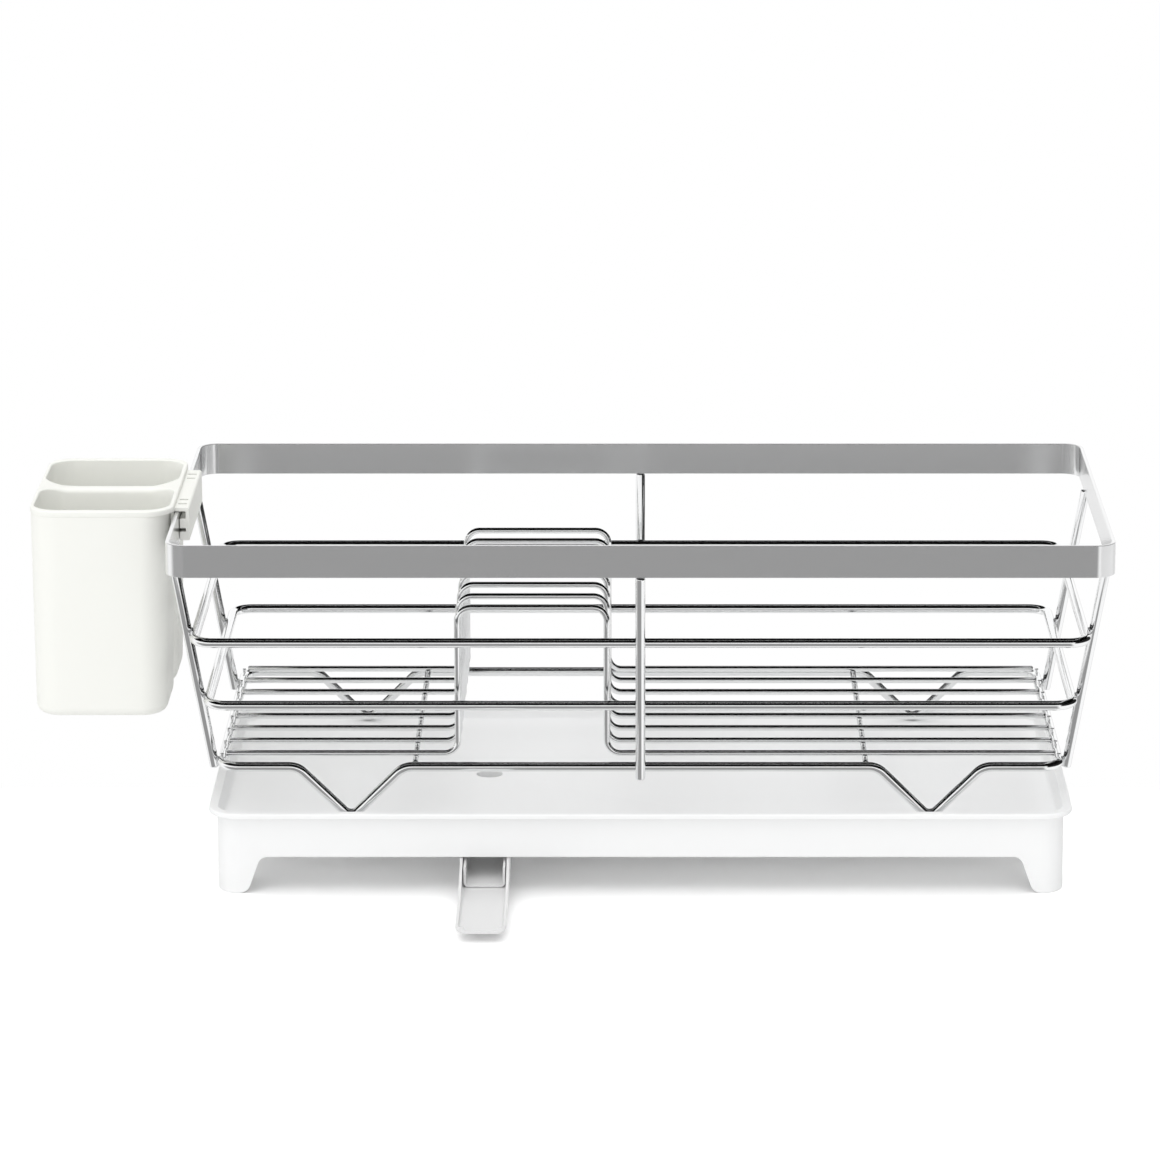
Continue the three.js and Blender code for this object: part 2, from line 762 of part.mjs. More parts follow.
function makeHook() {
  const innerLeft = -rimLength / 2 + rimThickness + hookInnerClearance;
  const innerRight = innerLeft + hookThickness;
  const legInside = hookOuterX + hookThickness;
  const slotLeft = innerLeft - hookSlotLength;
  const section = outline([
    [hookOuterX, hookTop - hookOuterDrop], [legInside, hookTop - hookOuterDrop],
    [legInside, hookBottom], [innerLeft, hookBottom],
    [innerLeft, hookTop - hookInnerDrop - hookThickness],
    [innerRight, hookTop - hookInnerDrop - hookThickness],
    [innerRight, hookTop], [hookOuterX, hookTop],
  ]);
  let hook = solidOf(throughY(section, -hookLength / 2, hookLength / 2));
  for (const row of [-1, 1]) {
    for (let slot = 0; slot < hookSlotCount; slot += 1) {
      const middle = row * (hookSlotStart + slot * hookSlotPitch);
      hook = hook.subtract(solidOf(block(
        new THREE.Vector3(slotLeft, middle - hookSlotWidth / 2, hookBottom - cutOverrun),
        new THREE.Vector3(innerLeft, middle + hookSlotWidth / 2, hookTop + cutOverrun),
      )));
    }
  }
  return geometryOf(hook);
}

addPiece('caddy_hook', makeHook(), caddyPlastic);

// The model's origin lies under the middle of its box, on the table.
const reach = new THREE.Box3().setFromObject(drainer);
const middle = reach.getCenter(new THREE.Vector3());
drainer.position.set(-middle.x, -middle.y, -reach.min.z);

const model = new THREE.Group();
model.add(drainer);

export default model;
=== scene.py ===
import math

import bmesh
import bpy
from bpy.props import FloatProperty, FloatVectorProperty, IntProperty, PointerProperty
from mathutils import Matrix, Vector


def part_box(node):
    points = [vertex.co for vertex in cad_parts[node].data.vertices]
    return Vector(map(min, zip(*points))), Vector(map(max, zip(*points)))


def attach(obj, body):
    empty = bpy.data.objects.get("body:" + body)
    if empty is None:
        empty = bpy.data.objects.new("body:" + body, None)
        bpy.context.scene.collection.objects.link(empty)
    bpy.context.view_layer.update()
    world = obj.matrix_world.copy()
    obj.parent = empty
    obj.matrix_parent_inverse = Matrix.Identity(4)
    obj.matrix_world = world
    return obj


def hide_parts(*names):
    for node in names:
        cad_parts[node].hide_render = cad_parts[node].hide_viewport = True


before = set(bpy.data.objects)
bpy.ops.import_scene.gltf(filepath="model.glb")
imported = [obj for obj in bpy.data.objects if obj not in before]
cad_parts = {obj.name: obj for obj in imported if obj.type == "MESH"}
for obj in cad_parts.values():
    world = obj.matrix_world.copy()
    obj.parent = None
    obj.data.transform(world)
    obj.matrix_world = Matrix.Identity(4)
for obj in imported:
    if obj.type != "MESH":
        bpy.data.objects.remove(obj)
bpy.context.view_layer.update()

# A dish drainer: a wire rack with a brushed rim, a drip tray with a swivelling spout, and a
# two-cup utensil caddy hooked over the rim. Metres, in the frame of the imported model.

bl_info = {
    "name": "Dish drainer",
    "version": (1, 0, 0),
    "blender": (4, 5, 0),
    "location": "3D View > Sidebar > Drainer",
    "description": "Builds the finished pieces of a dish drainer round its frame, and a studio",
    "category": "Object",
}

IMAGE_SIDE = 1160
FULL_TURN = 2 * math.pi
QUARTER = math.pi / 2
SQUARE = ((-1, -1), (1, -1), (1, 1), (-1, 1))

RIM_LOW, RIM_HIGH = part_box("rim_band")
TRAY_LOW, TRAY_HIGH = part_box("drip_tray")
CHANNEL_LOW, CHANNEL_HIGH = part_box("swivel_channel")
TROUGH_LOW, TROUGH_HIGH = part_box("spout_trough")
CADDY_LOW, CADDY_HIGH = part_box("utensil_caddy")
HOOK_LOW, HOOK_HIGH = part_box("caddy_hook")
BASE_LOW, BASE_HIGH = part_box("base_ring")
RACK = Vector(((RIM_LOW.x + RIM_HIGH.x) / 2, (RIM_LOW.y + RIM_HIGH.y) / 2, 0))
DRAIN = Vector(((CHANNEL_LOW.x + CHANNEL_HIGH.x) / 2, RACK.y, 0))

RINGS = ("base_ring", "lower_ring", "upper_ring")
RODS = tuple(
    f"rod_{side}_{row}" for side in ("left", "middle", "right") for row in ("front", "rear")
)
FLOOR_WIRES = tuple(f"floor_wire_{index}" for index in range(1, 9))
CROSS_WIRES = ("cross_wire_left", "cross_wire_right")

# The name of the band's grain.
GRAIN = "grain"

# Steps round bends, turned shapes and welds, and the points of the tray's and caddy's outlines.
TURN_STEP = math.radians(7.5)
LATHE_STEPS = 72
WELD_STEPS = 8
WELD_SIDES = 16
TRAY_CORNER_STEPS = 12
WAIST_STEPS = 12
CORNER_STEPS = 12
SIDE_STEPS = 4
END_STEPS = 6

# How much of a side's count each corner of the tray takes, and where its long runs are parted.
CORNER_SHARE = 0.02
SIDE_PARTS = (0.35, 0.6, 0.8)

# Faces stay crisp beyond these angles, and edges sharper than the last are rounded.
CREASE = math.radians(35)
SOFT_CREASE = math.radians(50)
ROUNDED_ANGLE = math.radians(40)

# The middle point of a rounding that has three points, as a share of its size.
ROUND_MIDDLE = 0.3
# The upward part of a wire's direction from which it counts as upright.
STEEP = 0.7
# A short step across a mouth's edge that shows which way it faces.
MOUTH_PROBE = 0.001
# The gap round the hook's seat, as a share of the rim's rounding.
SEAT_GAP = 0.3
# Points closer than this are one point.
SAME_PLACE = 1e-6
# The least run of a slope, so that nothing is divided by nought.
LEAST_RUN = 1e-9

# Where the studio changes, as a start and an end along one axis of a direction.
IN_FRONT = (0.15, -0.35)
BEHIND = (0.3, 0.7)
HORIZON = (0.0, -0.04)
LOW_LIGHT = (0.62, 0.35)
HIGH_LIGHT = (0.55, 0.85)
ROOF = (0.385, 0.395)
TABLE_NEAR = (-0.96, -0.86)
TABLE_FAR = (-0.14, -0.07)
TABLE_LEFT = (-0.20, -0.45)
TABLE_RIGHT = (0.48, 0.22)
DARK_SIDE = (0.52, 0.62)
DARK_SIDE_LOW = (-0.18, -0.13)
# The roof's slope from front to rear, and two greys of the mirrored studio.
ROOF_TILT = -0.06
WHITE_BEHIND = 0.9
DARK_GREY = 0.02
# Where painted light lifts the tray's shadow on the floor under the tray, and where the floor turns
# plain behind it, from the rack's middle.
PAINTED_LIGHT_UNDER_TRAY = (-0.10, -0.055)
BEHIND_TRAY = (0.02, 0.09)
# The way from the drainer to the large soft lamp.
TOWARDS_KEY = Vector((-0.2, -1.0, 0.9))


def length(name, description, default):
    """A size in metres that a user may change."""
    return FloatProperty(
        name=name, description=description, default=default, min=0.0, precision=5,
        unit="LENGTH", subtype="DISTANCE",
    )


def share(name, description, default):
    """A plain number, mostly between nought and one."""
    return FloatProperty(name=name, description=description, default=default, min=0.0)


def colour(name, description, default):
    """A linear colour with three channels."""
    return FloatVectorProperty(
        name=name, description=description, default=default, size=3, min=0.0, max=2.0,
        subtype="COLOR",
    )


class DrainerWireSizes(bpy.types.PropertyGroup):
    """Wires, rods and rings of the rack"""

    ring: length("Ring wire", "Diameter of the rings and the upright rods", 0.005)
    floor: length("Floor wire", "Diameter of the floor wires and cross wires", 0.0032)
    ring_corner: length("Ring corner", "Bend radius of the rings' corners", 0.010)
    arch_width: length("Arch width", "Width of a plate arch between wire axes", 0.0765)
    arch_middle: length("Arch middle", "The arches' place left of the rack's middle", 0.0555)
    arch_bend: length("Arch bend", "Bend radius of the plate arches", 0.007)
    leg_place: length("Leg place", "Distance of a V leg from the rack's middle", 0.1486)
    leg_shoulder: length("Leg shoulder", "Bend radius at the top of a V leg", 0.011)
    leg_toe: length("Leg toe", "Bend radius at the toe of a V leg", 0.005)
    cut_edge: length("Cut edge", "Rounding of the wires' cut ends", 0.0008)
    weld: length("Weld", "Radius of a resistance weld at its waist", 0.0008)
    weld_flare: length("Weld flare", "Extra radius where a weld meets the wires", 0.0002)
    sides: IntProperty(name="Sides", description="Flats round a wire", default=28, min=8)


class DrainerRimSizes(bpy.types.PropertyGroup):
    """The flat band round the top of the rack"""

    thickness: length("Thickness", "Thickness of the band", 0.002)
    corner: length("Corner", "Outer radius of the band's corners", 0.011)
    edge: length("Edge", "Rounding of the band's edges", 0.0002)


class DrainerTraySizes(bpy.types.PropertyGroup):
    """The drip tray"""

    wall: length("Skirt wall", "Thickness of the skirt", 0.002)
    corner: length("Corner", "Plan radius of the skirt's corners", 0.012)
    lip_reach: length("Lip reach", "How far the lip stands out of the skirt", 0.0043)
    lip_height: length("Lip height", "Height of the lip", 0.003)
    lip_edge: length("Lip edge", "Rounding of the lip", 0.0009)
    dish_inset: length("Dish inset", "From the skirt's face to the top of the dish wall", 0.0005)
    dish_slant: length("Dish slant", "How far the dish wall leans in towards the floor", 0.0026)
    dish_depth: length("Dish depth", "From the lip's top to the dish floor", 0.006)
    dish_fillet: length("Dish fillet", "Rounding between the dish wall and floor", 0.0018)
    floor: length("Floor", "Thickness of the dish floor", 0.002)
    funnel_drop: length("Funnel drop", "Fall of the floor from its border to the drain", 0.0032)
    funnel_margin: length("Funnel margin", "From the dish wall to the funnel's border", 0.003)
    bore: length("Drain bore", "Diameter of the drain", 0.0136)
    bore_edge: length("Bore edge", "Rounding of the drain's mouth", 0.0007)
    spigot_wall: length("Spigot wall", "Wall of the spigot under the drain", 0.0017)
    spigot_end: length("Spigot end", "Height of the spigot's lower end", 0.013)
    bead_reach: length("Bead reach", "How far the spigot's bead stands out", 0.0014)
    bead_height: length("Bead height", "Height of the spigot's bead", 0.0018)
    foot_width: length("Foot width", "Width of a foot at the table", 0.0156)
    foot_slant: length("Foot slant", "How far a foot's side leans", 0.007)
    foot_toe: length("Foot toe", "Rounding of a foot's lower inner corner", 0.006)
    cut_height: length("Cut height", "Height of the cut-outs between the feet", 0.0195)
    cut_fillet: length("Cut fillet", "Rounding of the cut-outs' upper corners", 0.005)
    edge: length("Edge", "Rounding of the skirt's lower edge", 0.0006)


class DrainerSpoutSizes(bpy.types.PropertyGroup):
    """The swivelling channel and the trough that slides on it"""

    channel_wall: length("Channel wall", "Wall and floor of the channel", 0.0012)
    corner: length("Corner", "Rounding along the channel and the trough", 0.0024)
    cup_wall: length("Cup wall", "Wall of the cup round the spigot's bead", 0.0018)
    cup_lip: length("Cup lip", "Height of the lip that holds the bead", 0.0018)
    cup_gap: length("Cup gap", "Running gap between the cup and the spigot", 0.0003)
    bead_gap: length("Bead gap", "Running gap between the cup and the bead", 0.0006)
    slide_gap: length("Slide gap", "Running gap between the trough and the channel", 0.0006)
    trough_wall: length("Trough wall", "Wall of the trough", 0.0014)
    trough_floor: length("Trough floor", "Floor of the trough", 0.0015)
    low_wall: length("Low wall", "Height of the trough's wall at the front", 0.002)
    slope_start: length("Slope start", "From the pivot to where the wall starts to fall", 0.096)
    slope_run: length("Slope run", "Length of the falling part of the wall", 0.038)
    tab_length: length("Tab length", "Length of the two holding tabs", 0.014)
    tab_height: length("Tab height", "Thickness of the two holding tabs", 0.0012)
    tab_width: length("Tab width", "How far a tab reaches over the channel", 0.0019)
    front_corner: length("Front corner", "Plan radius of the trough's front corners", 0.003)
    edge: length("Edge", "Rounding of the moulded edges", 0.0003)


class DrainerCaddySizes(bpy.types.PropertyGroup):
    """The utensil caddy and its hook"""

    corner: length("Corner", "Plan radius of the cups' corners", 0.014)
    wall: length("Wall", "Wall of the cups", 0.0016)
    end_wall: length("End wall", "Wall of the cups in front and behind", 0.0042)
    lean: length("Lean", "How far the side by the rack leans in at the bottom", 0.0026)
    flare: length("Flare", "How far the mouths widen towards the rack in the rim", 0.0018)
    web_drop: length("Web drop", "How far the web's top lies under the rim", 0.0015)
    web_edge: length("Web edge", "Rounding of the web's edges", 0.0024)
    body_inset: length("Body inset", "How far the rim stands out of the cups", 0.0003)
    deck_reach: length("Deck reach", "How far the rim stands out beside the rack", 0.0024)
    deck_height: length("Deck height", "Height of the rim round both cups", 0.003)
    web: length("Web", "Width of the web between the cups' mouths", 0.009)
    waist: length("Waist", "Depth of the waist between the cups", 0.006)
    draft: length("Draft", "How far the cups narrow towards their bottoms", 0.0003)
    bottom: length("Bottom", "Rounding of the cups' bottoms", 0.005)
    edge: length("Edge", "Rounding of the rim's edges", 0.0007)
    slot_width: length("Slot width", "Width of a drain slot", 0.003)
    slot_pitch: length("Slot pitch", "Distance between drain slots", 0.012)
    slot_length: length("Slot length", "Length of a drain slot", 0.036)
    slots: IntProperty(name="Slots", description="Drain slots in each cup", default=3, min=0)
    hook_wall: length("Hook wall", "Thickness of the hook", 0.0018)
    hook_inner_drop: length("Hook inner drop", "Drop of the hook inside the rim", 0.0172)
    hook_rib: length("Hook rib", "How far the inner ribs stand out towards the rim", 0.0031)
    hook_rib_drop: length("Hook rib drop", "Top of the upper inner rib under the hook's top", 0.0058)
    hook_rib_height: length("Hook rib height", "Height of the upper inner rib", 0.005)
    hook_rib_gap: length("Hook rib gap", "Groove between the two inner ribs", 0.0019)
    hook_bend: length("Hook bend", "Outer radius of the hook's bends", 0.0012)
    hook_slot_width: length("Hook slot width", "Width of a slot in the hook", 0.0025)
    hook_slot_length: length("Hook slot length", "Length of a slot in the hook", 0.0046)
    hook_slot_start: length("Hook slot start", "First slot's distance from the middle", 0.023)
    hook_slot_pitch: length("Hook slot pitch", "Distance between two slots", 0.009)


class DrainerFinishes(bpy.types.PropertyGroup):
    """Colours and roughness of the finishes"""

    polished: colour("Polished steel", "Colour of the bright drawn wire", (0.86, 0.865, 0.87))
    brushed: colour("Brushed steel", "Colour of the brushed band", (0.80, 0.802, 0.805))
    tray: colour("Tray plastic", "Colour of the neutral white plastic", (0.91, 0.91, 0.91))
    # Painted shade: the spout's plastic is a darker grey than the tray's, standing in for the shade
    # inside the channel and the trough.
    spout: colour("Spout plastic", "Colour of the spout's duller white plastic", (0.79, 0.79, 0.79))
    caddy: colour("Caddy plastic", "Colour of the warm white plastic", (0.875, 0.88, 0.84))
    wire_roughness: share("Wire roughness", "Roughness of the polished wire", 0.035)
    band_roughness: share("Band roughness", "Roughness of the brushed band", 0.20)
    plastic_roughness: share("Plastic roughness", "Roughness of the plastic", 0.38)


class DrainerStudio(bpy.types.PropertyGroup):
    """Camera, lamps and floor"""

    camera: FloatVectorProperty(
        name="Camera", description="Place of the camera from the rack's middle", size=3,
        default=(0.0, -2.6896, 0.86057), unit="LENGTH", subtype="XYZ",
    )
    tilt: FloatProperty(
        name="Tilt", description="How far the camera looks down", default=math.radians(14.974),
        subtype="ANGLE",
    )
    lens: FloatProperty(
        name="Focal length", description="Focal length in pixels of the photograph",
        default=5298.26, subtype="PIXEL",
    )
    axis: FloatProperty(
        name="Axis", description="Pixels from the image's left edge to the camera's axis",
        default=640.44, subtype="PIXEL",
    )
    key: share("Key lamp", "Strength of the large soft lamp", 0.35)
    room: share("Room light", "Light from all round", 0.45)
    front: share("Front light", "Light from low in front", 1.03)
    roof: share("Roof light", "Light from straight above", 1.54)
    lean: share("Lean", "How much more light comes from the left than from the right", 0.20)
    wall_white: share("Wall white", "The studio's walls as steel mirrors them", 1.12)
    floor_white: share("Floor white", "The floor as steel mirrors it", 1.12)
    floor_grey: share("Floor grey", "The table in front as steel mirrors it", 0.345)
    floor_shown: share("Floor shown", "Whiteness of the floor to the camera", 1.22)
    # Painted light: the floor under the tray is shown whiter to the camera, which lifts the tray's
    # shadow there.
    floor_under_painted_light: share("Floor under", "Whiteness of the floor under the tray to the camera", 1.75)
    floor_bounce: share("Floor bounce", "Whiteness of the floor to the object", 0.86)
    floor_reach: length("Floor reach", "Half the floor's side", 2.5)


class DrainerSettings(bpy.types.PropertyGroup):
    """All the sizes and finishes of the dish drainer"""

    wires: PointerProperty(type=DrainerWireSizes)
    rim: PointerProperty(type=DrainerRimSizes)
    tray: PointerProperty(type=DrainerTraySizes)
    spout: PointerProperty(type=DrainerSpoutSizes)
    caddy: PointerProperty(type=DrainerCaddySizes)
    finishes: PointerProperty(type=DrainerFinishes)
    studio: PointerProperty(type=DrainerStudio)


# Outlines, sweeps and meshes


def up(height):
    """A step straight up."""
    return Vector((0, 0, height))


def flat(x, y):
    """A place in the XY plane."""
    return Vector((x, y, 0))


def turned(angle, radius=1.0):
    """A place in the XY plane at an angle and a distance from nought."""
    return flat(math.cos(angle), math.sin(angle)) * radius


def quarter(steps):
    """Sine and one minus cosine of a quarter turn, step by step."""
    angles = [QUARTER * step / steps for step in range(steps + 1)]
    return [(math.sin(angle), 1 - math.cos(angle)) for angle in angles]


def arc(centre, radius, start, end, steps):
    """Points of an arc in the XY plane, both ends included."""
    return [
        centre + turned(start + (end - start) * step / steps, radius) for step in range(steps + 1)
    ]


def run(start, end, steps):
    """Points between two places, both ends left out."""
    return [start.lerp(end, step / steps) for step in range(1, steps)]


def rounded_path(corners, closed=False):
    """Points along straight runs between corners, each a place and its bend radius."""
    path = []
    last = len(corners) - 1
    for index, (place, radius) in enumerate(corners):
        if radius == 0 or (not closed and index in (0, last)):
            path.append(place.copy())
            continue
        inward = (place - corners[index - 1][0]).normalized()
        outward = (corners[(index + 1) % len(corners)][0] - place).normalized()
        turn = inward.angle(outward)
        to_centre = (outward - inward * math.cos(turn)).normalized()
        start = place - inward * (radius * math.tan(turn / 2))
        centre = start + to_centre * radius
        steps = max(3, round(turn / TURN_STEP))
        for step in range(steps + 1):
            angle = turn * step / steps
            path.append(
                centre - to_centre * (radius * math.cos(angle)) + inward * (radius * math.sin(angle))
            )
    return path


def flat_path(corners, closed=False):
    """A rounded path given as (x, y, radius), as points in the XY plane."""
    return rounded_path([(flat(x, y), radius) for x, y, radius in corners], closed)


def upright(section, y, x=0.0):
    """A flat section's points stood up across the object at a place."""
    return [Vector((x + point.x, y, point.y)) for point in section]


def travelled(path):
    """Distances along a closed path to each of its points, and back to the first."""
    distances = [0.0]
    for index, point in enumerate(path):
        distances.append(distances[-1] + (path[(index + 1) % len(path)] - point).length)
    return distances


def sweep(path, section, normal, closed=False):
    """Rings of a flat section set along a path and mitred at its points."""
    count = len(path)
    rings = []
    previous = None
    for index, point in enumerate(path):
        before = path[index - 1] if closed or index > 0 else None
        after = path[(index + 1) % count] if closed or index < count - 1 else None
        arrive = (after - point if before is None else point - before).normalized()
        leave = (point - before if after is None else after - point).normalized()
        if previous is not None:
            normal.rotate(previous.rotation_difference(arrive))
        normal = (normal - arrive * normal.dot(arrive)).normalized()
        previous = arrive
        across = normal.cross(arrive)
        mitre = (arrive + leave).normalized()
        ring = []
        for x, y in section:
            offset = across * x + normal * y
            ring.append(point + offset - arrive * (offset.dot(mitre) / arrive.dot(mitre)))
        rings.append(ring)
    return rings


def skin(rings, closed=False):
    """Vertices and faces that join rings of equal point counts, capped where they end."""
    count = len(rings[0])
    vertices = [point for ring in rings for point in ring]
    faces = []
    for ring in range(len(rings) if closed else len(rings) - 1):
        here = ring * count
        ahead = (ring + 1) % len(rings) * count
        for side in range(count):
            far = (side + 1) % count
            faces.append((here + side, here + far, ahead + far, ahead + side))
    if not closed:
        faces.append(tuple(reversed(range(count))))
        faces.append(tuple(range(len(vertices) - count, len(vertices))))
    return vertices, faces


def place_piece(name, mesh):
    """Puts a mesh in the scene as an object."""
    piece = bpy.data.objects.new(name, mesh)
    bpy.context.scene.collection.objects.link(piece)
    return piece


def add_piece(name, *shells, merge=0.0):
    """An object from several lists of vertices and faces, with all faces pointing out."""
    vertices = []
    faces = []
    for points, sides in shells:
        first = len(vertices)
        vertices.extend(points)
        faces.extend(tuple(first + corner for corner in side) for side in sides)
    mesh = bpy.data.meshes.new(name)
    mesh.from_pydata(vertices, [], faces)
    work = bmesh.new()
    work.from_mesh(mesh)
    if merge:
        bmesh.ops.remove_doubles(work, verts=work.verts, dist=merge)
    bmesh.ops.recalc_face_normals(work, faces=work.faces)
    work.to_mesh(mesh)
    work.free()
    mesh.polygons.foreach_set("use_smooth", [True] * len(mesh.polygons))
    return place_piece(name, mesh)


def block(name, low, high):
    """A plain block between two corners, used to cut with or to join on."""
    plan = ((low.x, low.y), (high.x, low.y), (high.x, high.y), (low.x, high.y))
    ring = [Vector((x, y, low.z)) for x, y in plan]
    return add_piece(name, skin([ring, [point + up(high.z - low.z) for point in ring]]))


def cut(piece, tools, operation="DIFFERENCE"):
    """Cuts the tools out of a piece, or joins them to it, and removes them."""
    for tool in tools:
        boolean = piece.modifiers.new("cut", "BOOLEAN")
        boolean.operation = operation
        boolean.solver = "EXACT"
        boolean.object = tool
    depsgraph = bpy.context.evaluated_depsgraph_get()
    mesh = bpy.data.meshes.new_from_object(piece.evaluated_get(depsgraph))
    piece.modifiers.clear()
    piece.data = mesh
    for tool in tools:
        bpy.data.objects.remove(tool)


def mark_sharp(mesh, pairs, angle):
    """Keeps edges crisp where faces meet at more than an angle, and along the given pairs."""
    mesh.set_sharp_from_angle(angle=angle)
    wanted = {tuple(sorted(pair)) for pair in pairs}
    for edge in mesh.edges:
        if tuple(sorted(edge.vertices)) in wanted:
            edge.use_edge_sharp = True


def even_shading(piece):
    """Lets large faces stay flat beside their rounded edges."""
    normals = piece.modifiers.new("shading", "WEIGHTED_NORMAL")
    normals.keep_sharp = True
    normals.weight = 60


def shade_moulding(piece, angle, edge=0.0):
    """Shades a cut piece, crisp beyond an angle, and rounds its edges where a radius is given."""
    piece.data.polygons.foreach_set("use_smooth", [True] * len(piece.data.polygons))
    piece.data.set_sharp_from_angle(angle=angle)
    if edge:
        bevel = piece.modifiers.new("edges", "BEVEL")
        bevel.width = edge
        bevel.segments = 2
        bevel.limit_method = "ANGLE"
        bevel.angle_limit = ROUNDED_ANGLE
        bevel.harden_normals = False
    even_shading(piece)


def finish_piece(piece, finish, body, *nodes):
    """Gives a piece its finish, seats it on its body and hides what it stands for."""
    piece.data.materials.clear()
    piece.data.materials.append(finish_material(finish))
    if nodes:
        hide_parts(*nodes)
    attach(piece, body)


# Materials


def add_node(tree, kind, values=None, **settings):
    """A node with its settings, and with values or links for its inputs."""
    made = tree.nodes.new(kind)
    for name, value in settings.items():
        setattr(made, name, value)
    for socket, value in (values or {}).items():
        if isinstance(value, bpy.types.NodeSocket):
            tree.links.new(value, made.inputs[socket])
        else:
            made.inputs[socket].default_value = value
    return made


def new_material(name):
    """An empty node material and its tree."""
    material = bpy.data.materials.new(name)
    material.use_nodes = True
    material.node_tree.nodes.clear()
    return material, material.node_tree


def coordinates(tree, kind="Object"):
    """The place on the object, or another kind of texture coordinate."""
    return add_node(tree, "ShaderNodeTexCoord").outputs[kind]


def ranged(tree, value, low, high):
    """A nought-to-one value stretched to run from low to high."""
    return add_node(tree, "ShaderNodeMapRange", {0: value, 3: low, 4: high}).outputs[0]


def varied(tree, value, middle, reach):
    """A nought-to-one value turned into one that varies by a reach round a middle."""
    return ranged(tree, value, middle - reach, middle + reach)


def noise(tree, place, scale, detail, roughness=0.5):
    """A noise between nought and one, of a number of grains per metre."""
    values = {"Vector": place, "Scale": scale, "Detail": detail, "Roughness": roughness}
    return add_node(tree, "ShaderNodeTexNoise", values).outputs["Fac"]


def stretched(tree, place, scales):
    """Coordinates scaled by a different amount along each axis."""
    return add_node(tree, "ShaderNodeMapping", {"Vector": place, "Scale": scales}).outputs[0]


def blended(tree, factor, first, second):
    """A value between two values or links, by a factor."""
    mix = add_node(tree, "ShaderNodeMix", {0: factor, 2: first, 3: second}, data_type="FLOAT")
    return mix.outputs[0]


def both(tree, first, second):
    """The product of two values."""
    return add_node(tree, "ShaderNodeMath", {0: first, 1: second}, operation="MULTIPLY").outputs[0]


def scaled_sum(tree, value, factor, other):
    """A value times a factor, plus another value."""
    values = {0: value, 1: factor, 2: other}
    return add_node(tree, "ShaderNodeMath", values, operation="MULTIPLY_ADD").outputs[0]


def faded(tree, value, start, end):
    """Nought at the start, one at the end, and a smooth step in between."""
    step = add_node(
        tree, "ShaderNodeMapRange", {0: value, 1: start, 2: end}, interpolation_type="SMOOTHSTEP",
    )
    return step.outputs[0]


def tinted(tree, base, factor, low_share):
    """A colour that varies between a share of itself and itself."""
    dark = [channel * low_share for channel in base] + [1.0]
    mix = add_node(
        tree, "ShaderNodeMix", {0: factor, 6: dark, 7: [*base, 1.0]}, data_type="RGBA",
    )
    return mix.outputs[2]


def add_surface(tree, height, strength, distance, values):
    """A surface with a bump and other values, joined to the material's output."""
    bump = add_node(
        tree, "ShaderNodeBump", {"Strength": strength, "Distance": distance, "Height": height},
    )
    values["Normal"] = bump.outputs[0]
    shader = add_node(tree, "ShaderNodeBsdfPrincipled", values)
    add_node(tree, "ShaderNodeOutputMaterial", {0: shader.outputs[0]})


def plastic(name, base, roughness):
    """Moulded plastic: an even colour with a faint flow, and a fine spark-etched grain."""
    material, tree = new_material(name)
    place = coordinates(tree)
    flow = noise(tree, place, scale=9.0, detail=3.0)
    grain = noise(tree, place, scale=2600.0, detail=2.0, roughness=0.6)
    ripple = noise(tree, place, scale=45.0, detail=1.0)
    height = scaled_sum(tree, ripple, 14.0, grain)
    add_surface(tree, height, strength=0.22, distance=0.00002, values={
        "Base Color": tinted(tree, base, flow, low_share=0.985),
        "Roughness": varied(tree, grain, roughness, reach=0.05),
        "IOR": 1.49,
    })
    return material


def polished_wire(name, base, roughness):
    """Bright nickel-coloured wire with faint handling marks and a hint of waviness."""
    material, tree = new_material(name)
    place = coordinates(tree)
    marks = noise(tree, place, scale=320.0, detail=4.0, roughness=0.65)
    cloud = noise(tree, place, scale=24.0, detail=2.0)
    waves = noise(tree, place, scale=70.0, detail=1.0)
    add_surface(tree, waves, strength=0.05, distance=0.00002, values={
        "Base Color": tinted(tree, base, cloud, low_share=0.96),
        "Metallic": 1.0,
        "Roughness": varied(tree, marks, roughness, reach=0.01),
    })
    return material


def brushed_band(name, base, roughness):
    """Steel brushed along the band, with long fine scratches that blur it up and down."""
    material, tree = new_material(name)
    along = add_node(tree, "ShaderNodeUVMap", uv_map=GRAIN).outputs[0]
    fine = stretched(tree, along, (30.0, 5200.0, 1.0))
    coarse = stretched(tree, along, (3.0, 700.0, 1.0))
    scratches = noise(tree, fine, scale=1.0, detail=3.0, roughness=0.7)
    bands = noise(tree, coarse, scale=1.0, detail=2.0)
    height = scaled_sum(tree, scratches, 0.6, bands)
    tangent = add_node(tree, "ShaderNodeTangent", direction_type="UV_MAP", uv_map=GRAIN)
    add_surface(tree, height, strength=0.25, distance=0.00001, values={
        "Base Color": tinted(tree, base, bands, low_share=0.97),
        "Metallic": 1.0,
        "Roughness": varied(tree, scratches, roughness, reach=0.05),
        "Anisotropic": 0.8,
        "Anisotropic Rotation": 0.25,
        "Tangent": tangent.outputs[0],
    })
    return material


def finish_material(name):
    """The material of a finish, made when it is first asked for."""
    finishes = bpy.context.scene.drainer.finishes
    made = bpy.data.materials.get(name)
    if made:
        return made
    if name == "polished_wire":
        return polished_wire(name, finishes.polished, finishes.wire_roughness)
    if name == "brushed_band":
        return brushed_band(name, finishes.brushed, finishes.band_roughness)
    return plastic(name, getattr(finishes, name.split("_")[0]), finishes.plastic_roughness)


# Rack


def centre_of(node):
    """The middle of a node's box, as three numbers."""
    low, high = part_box(node)
    return [(low[axis] + high[axis]) / 2 for axis in range(3)]


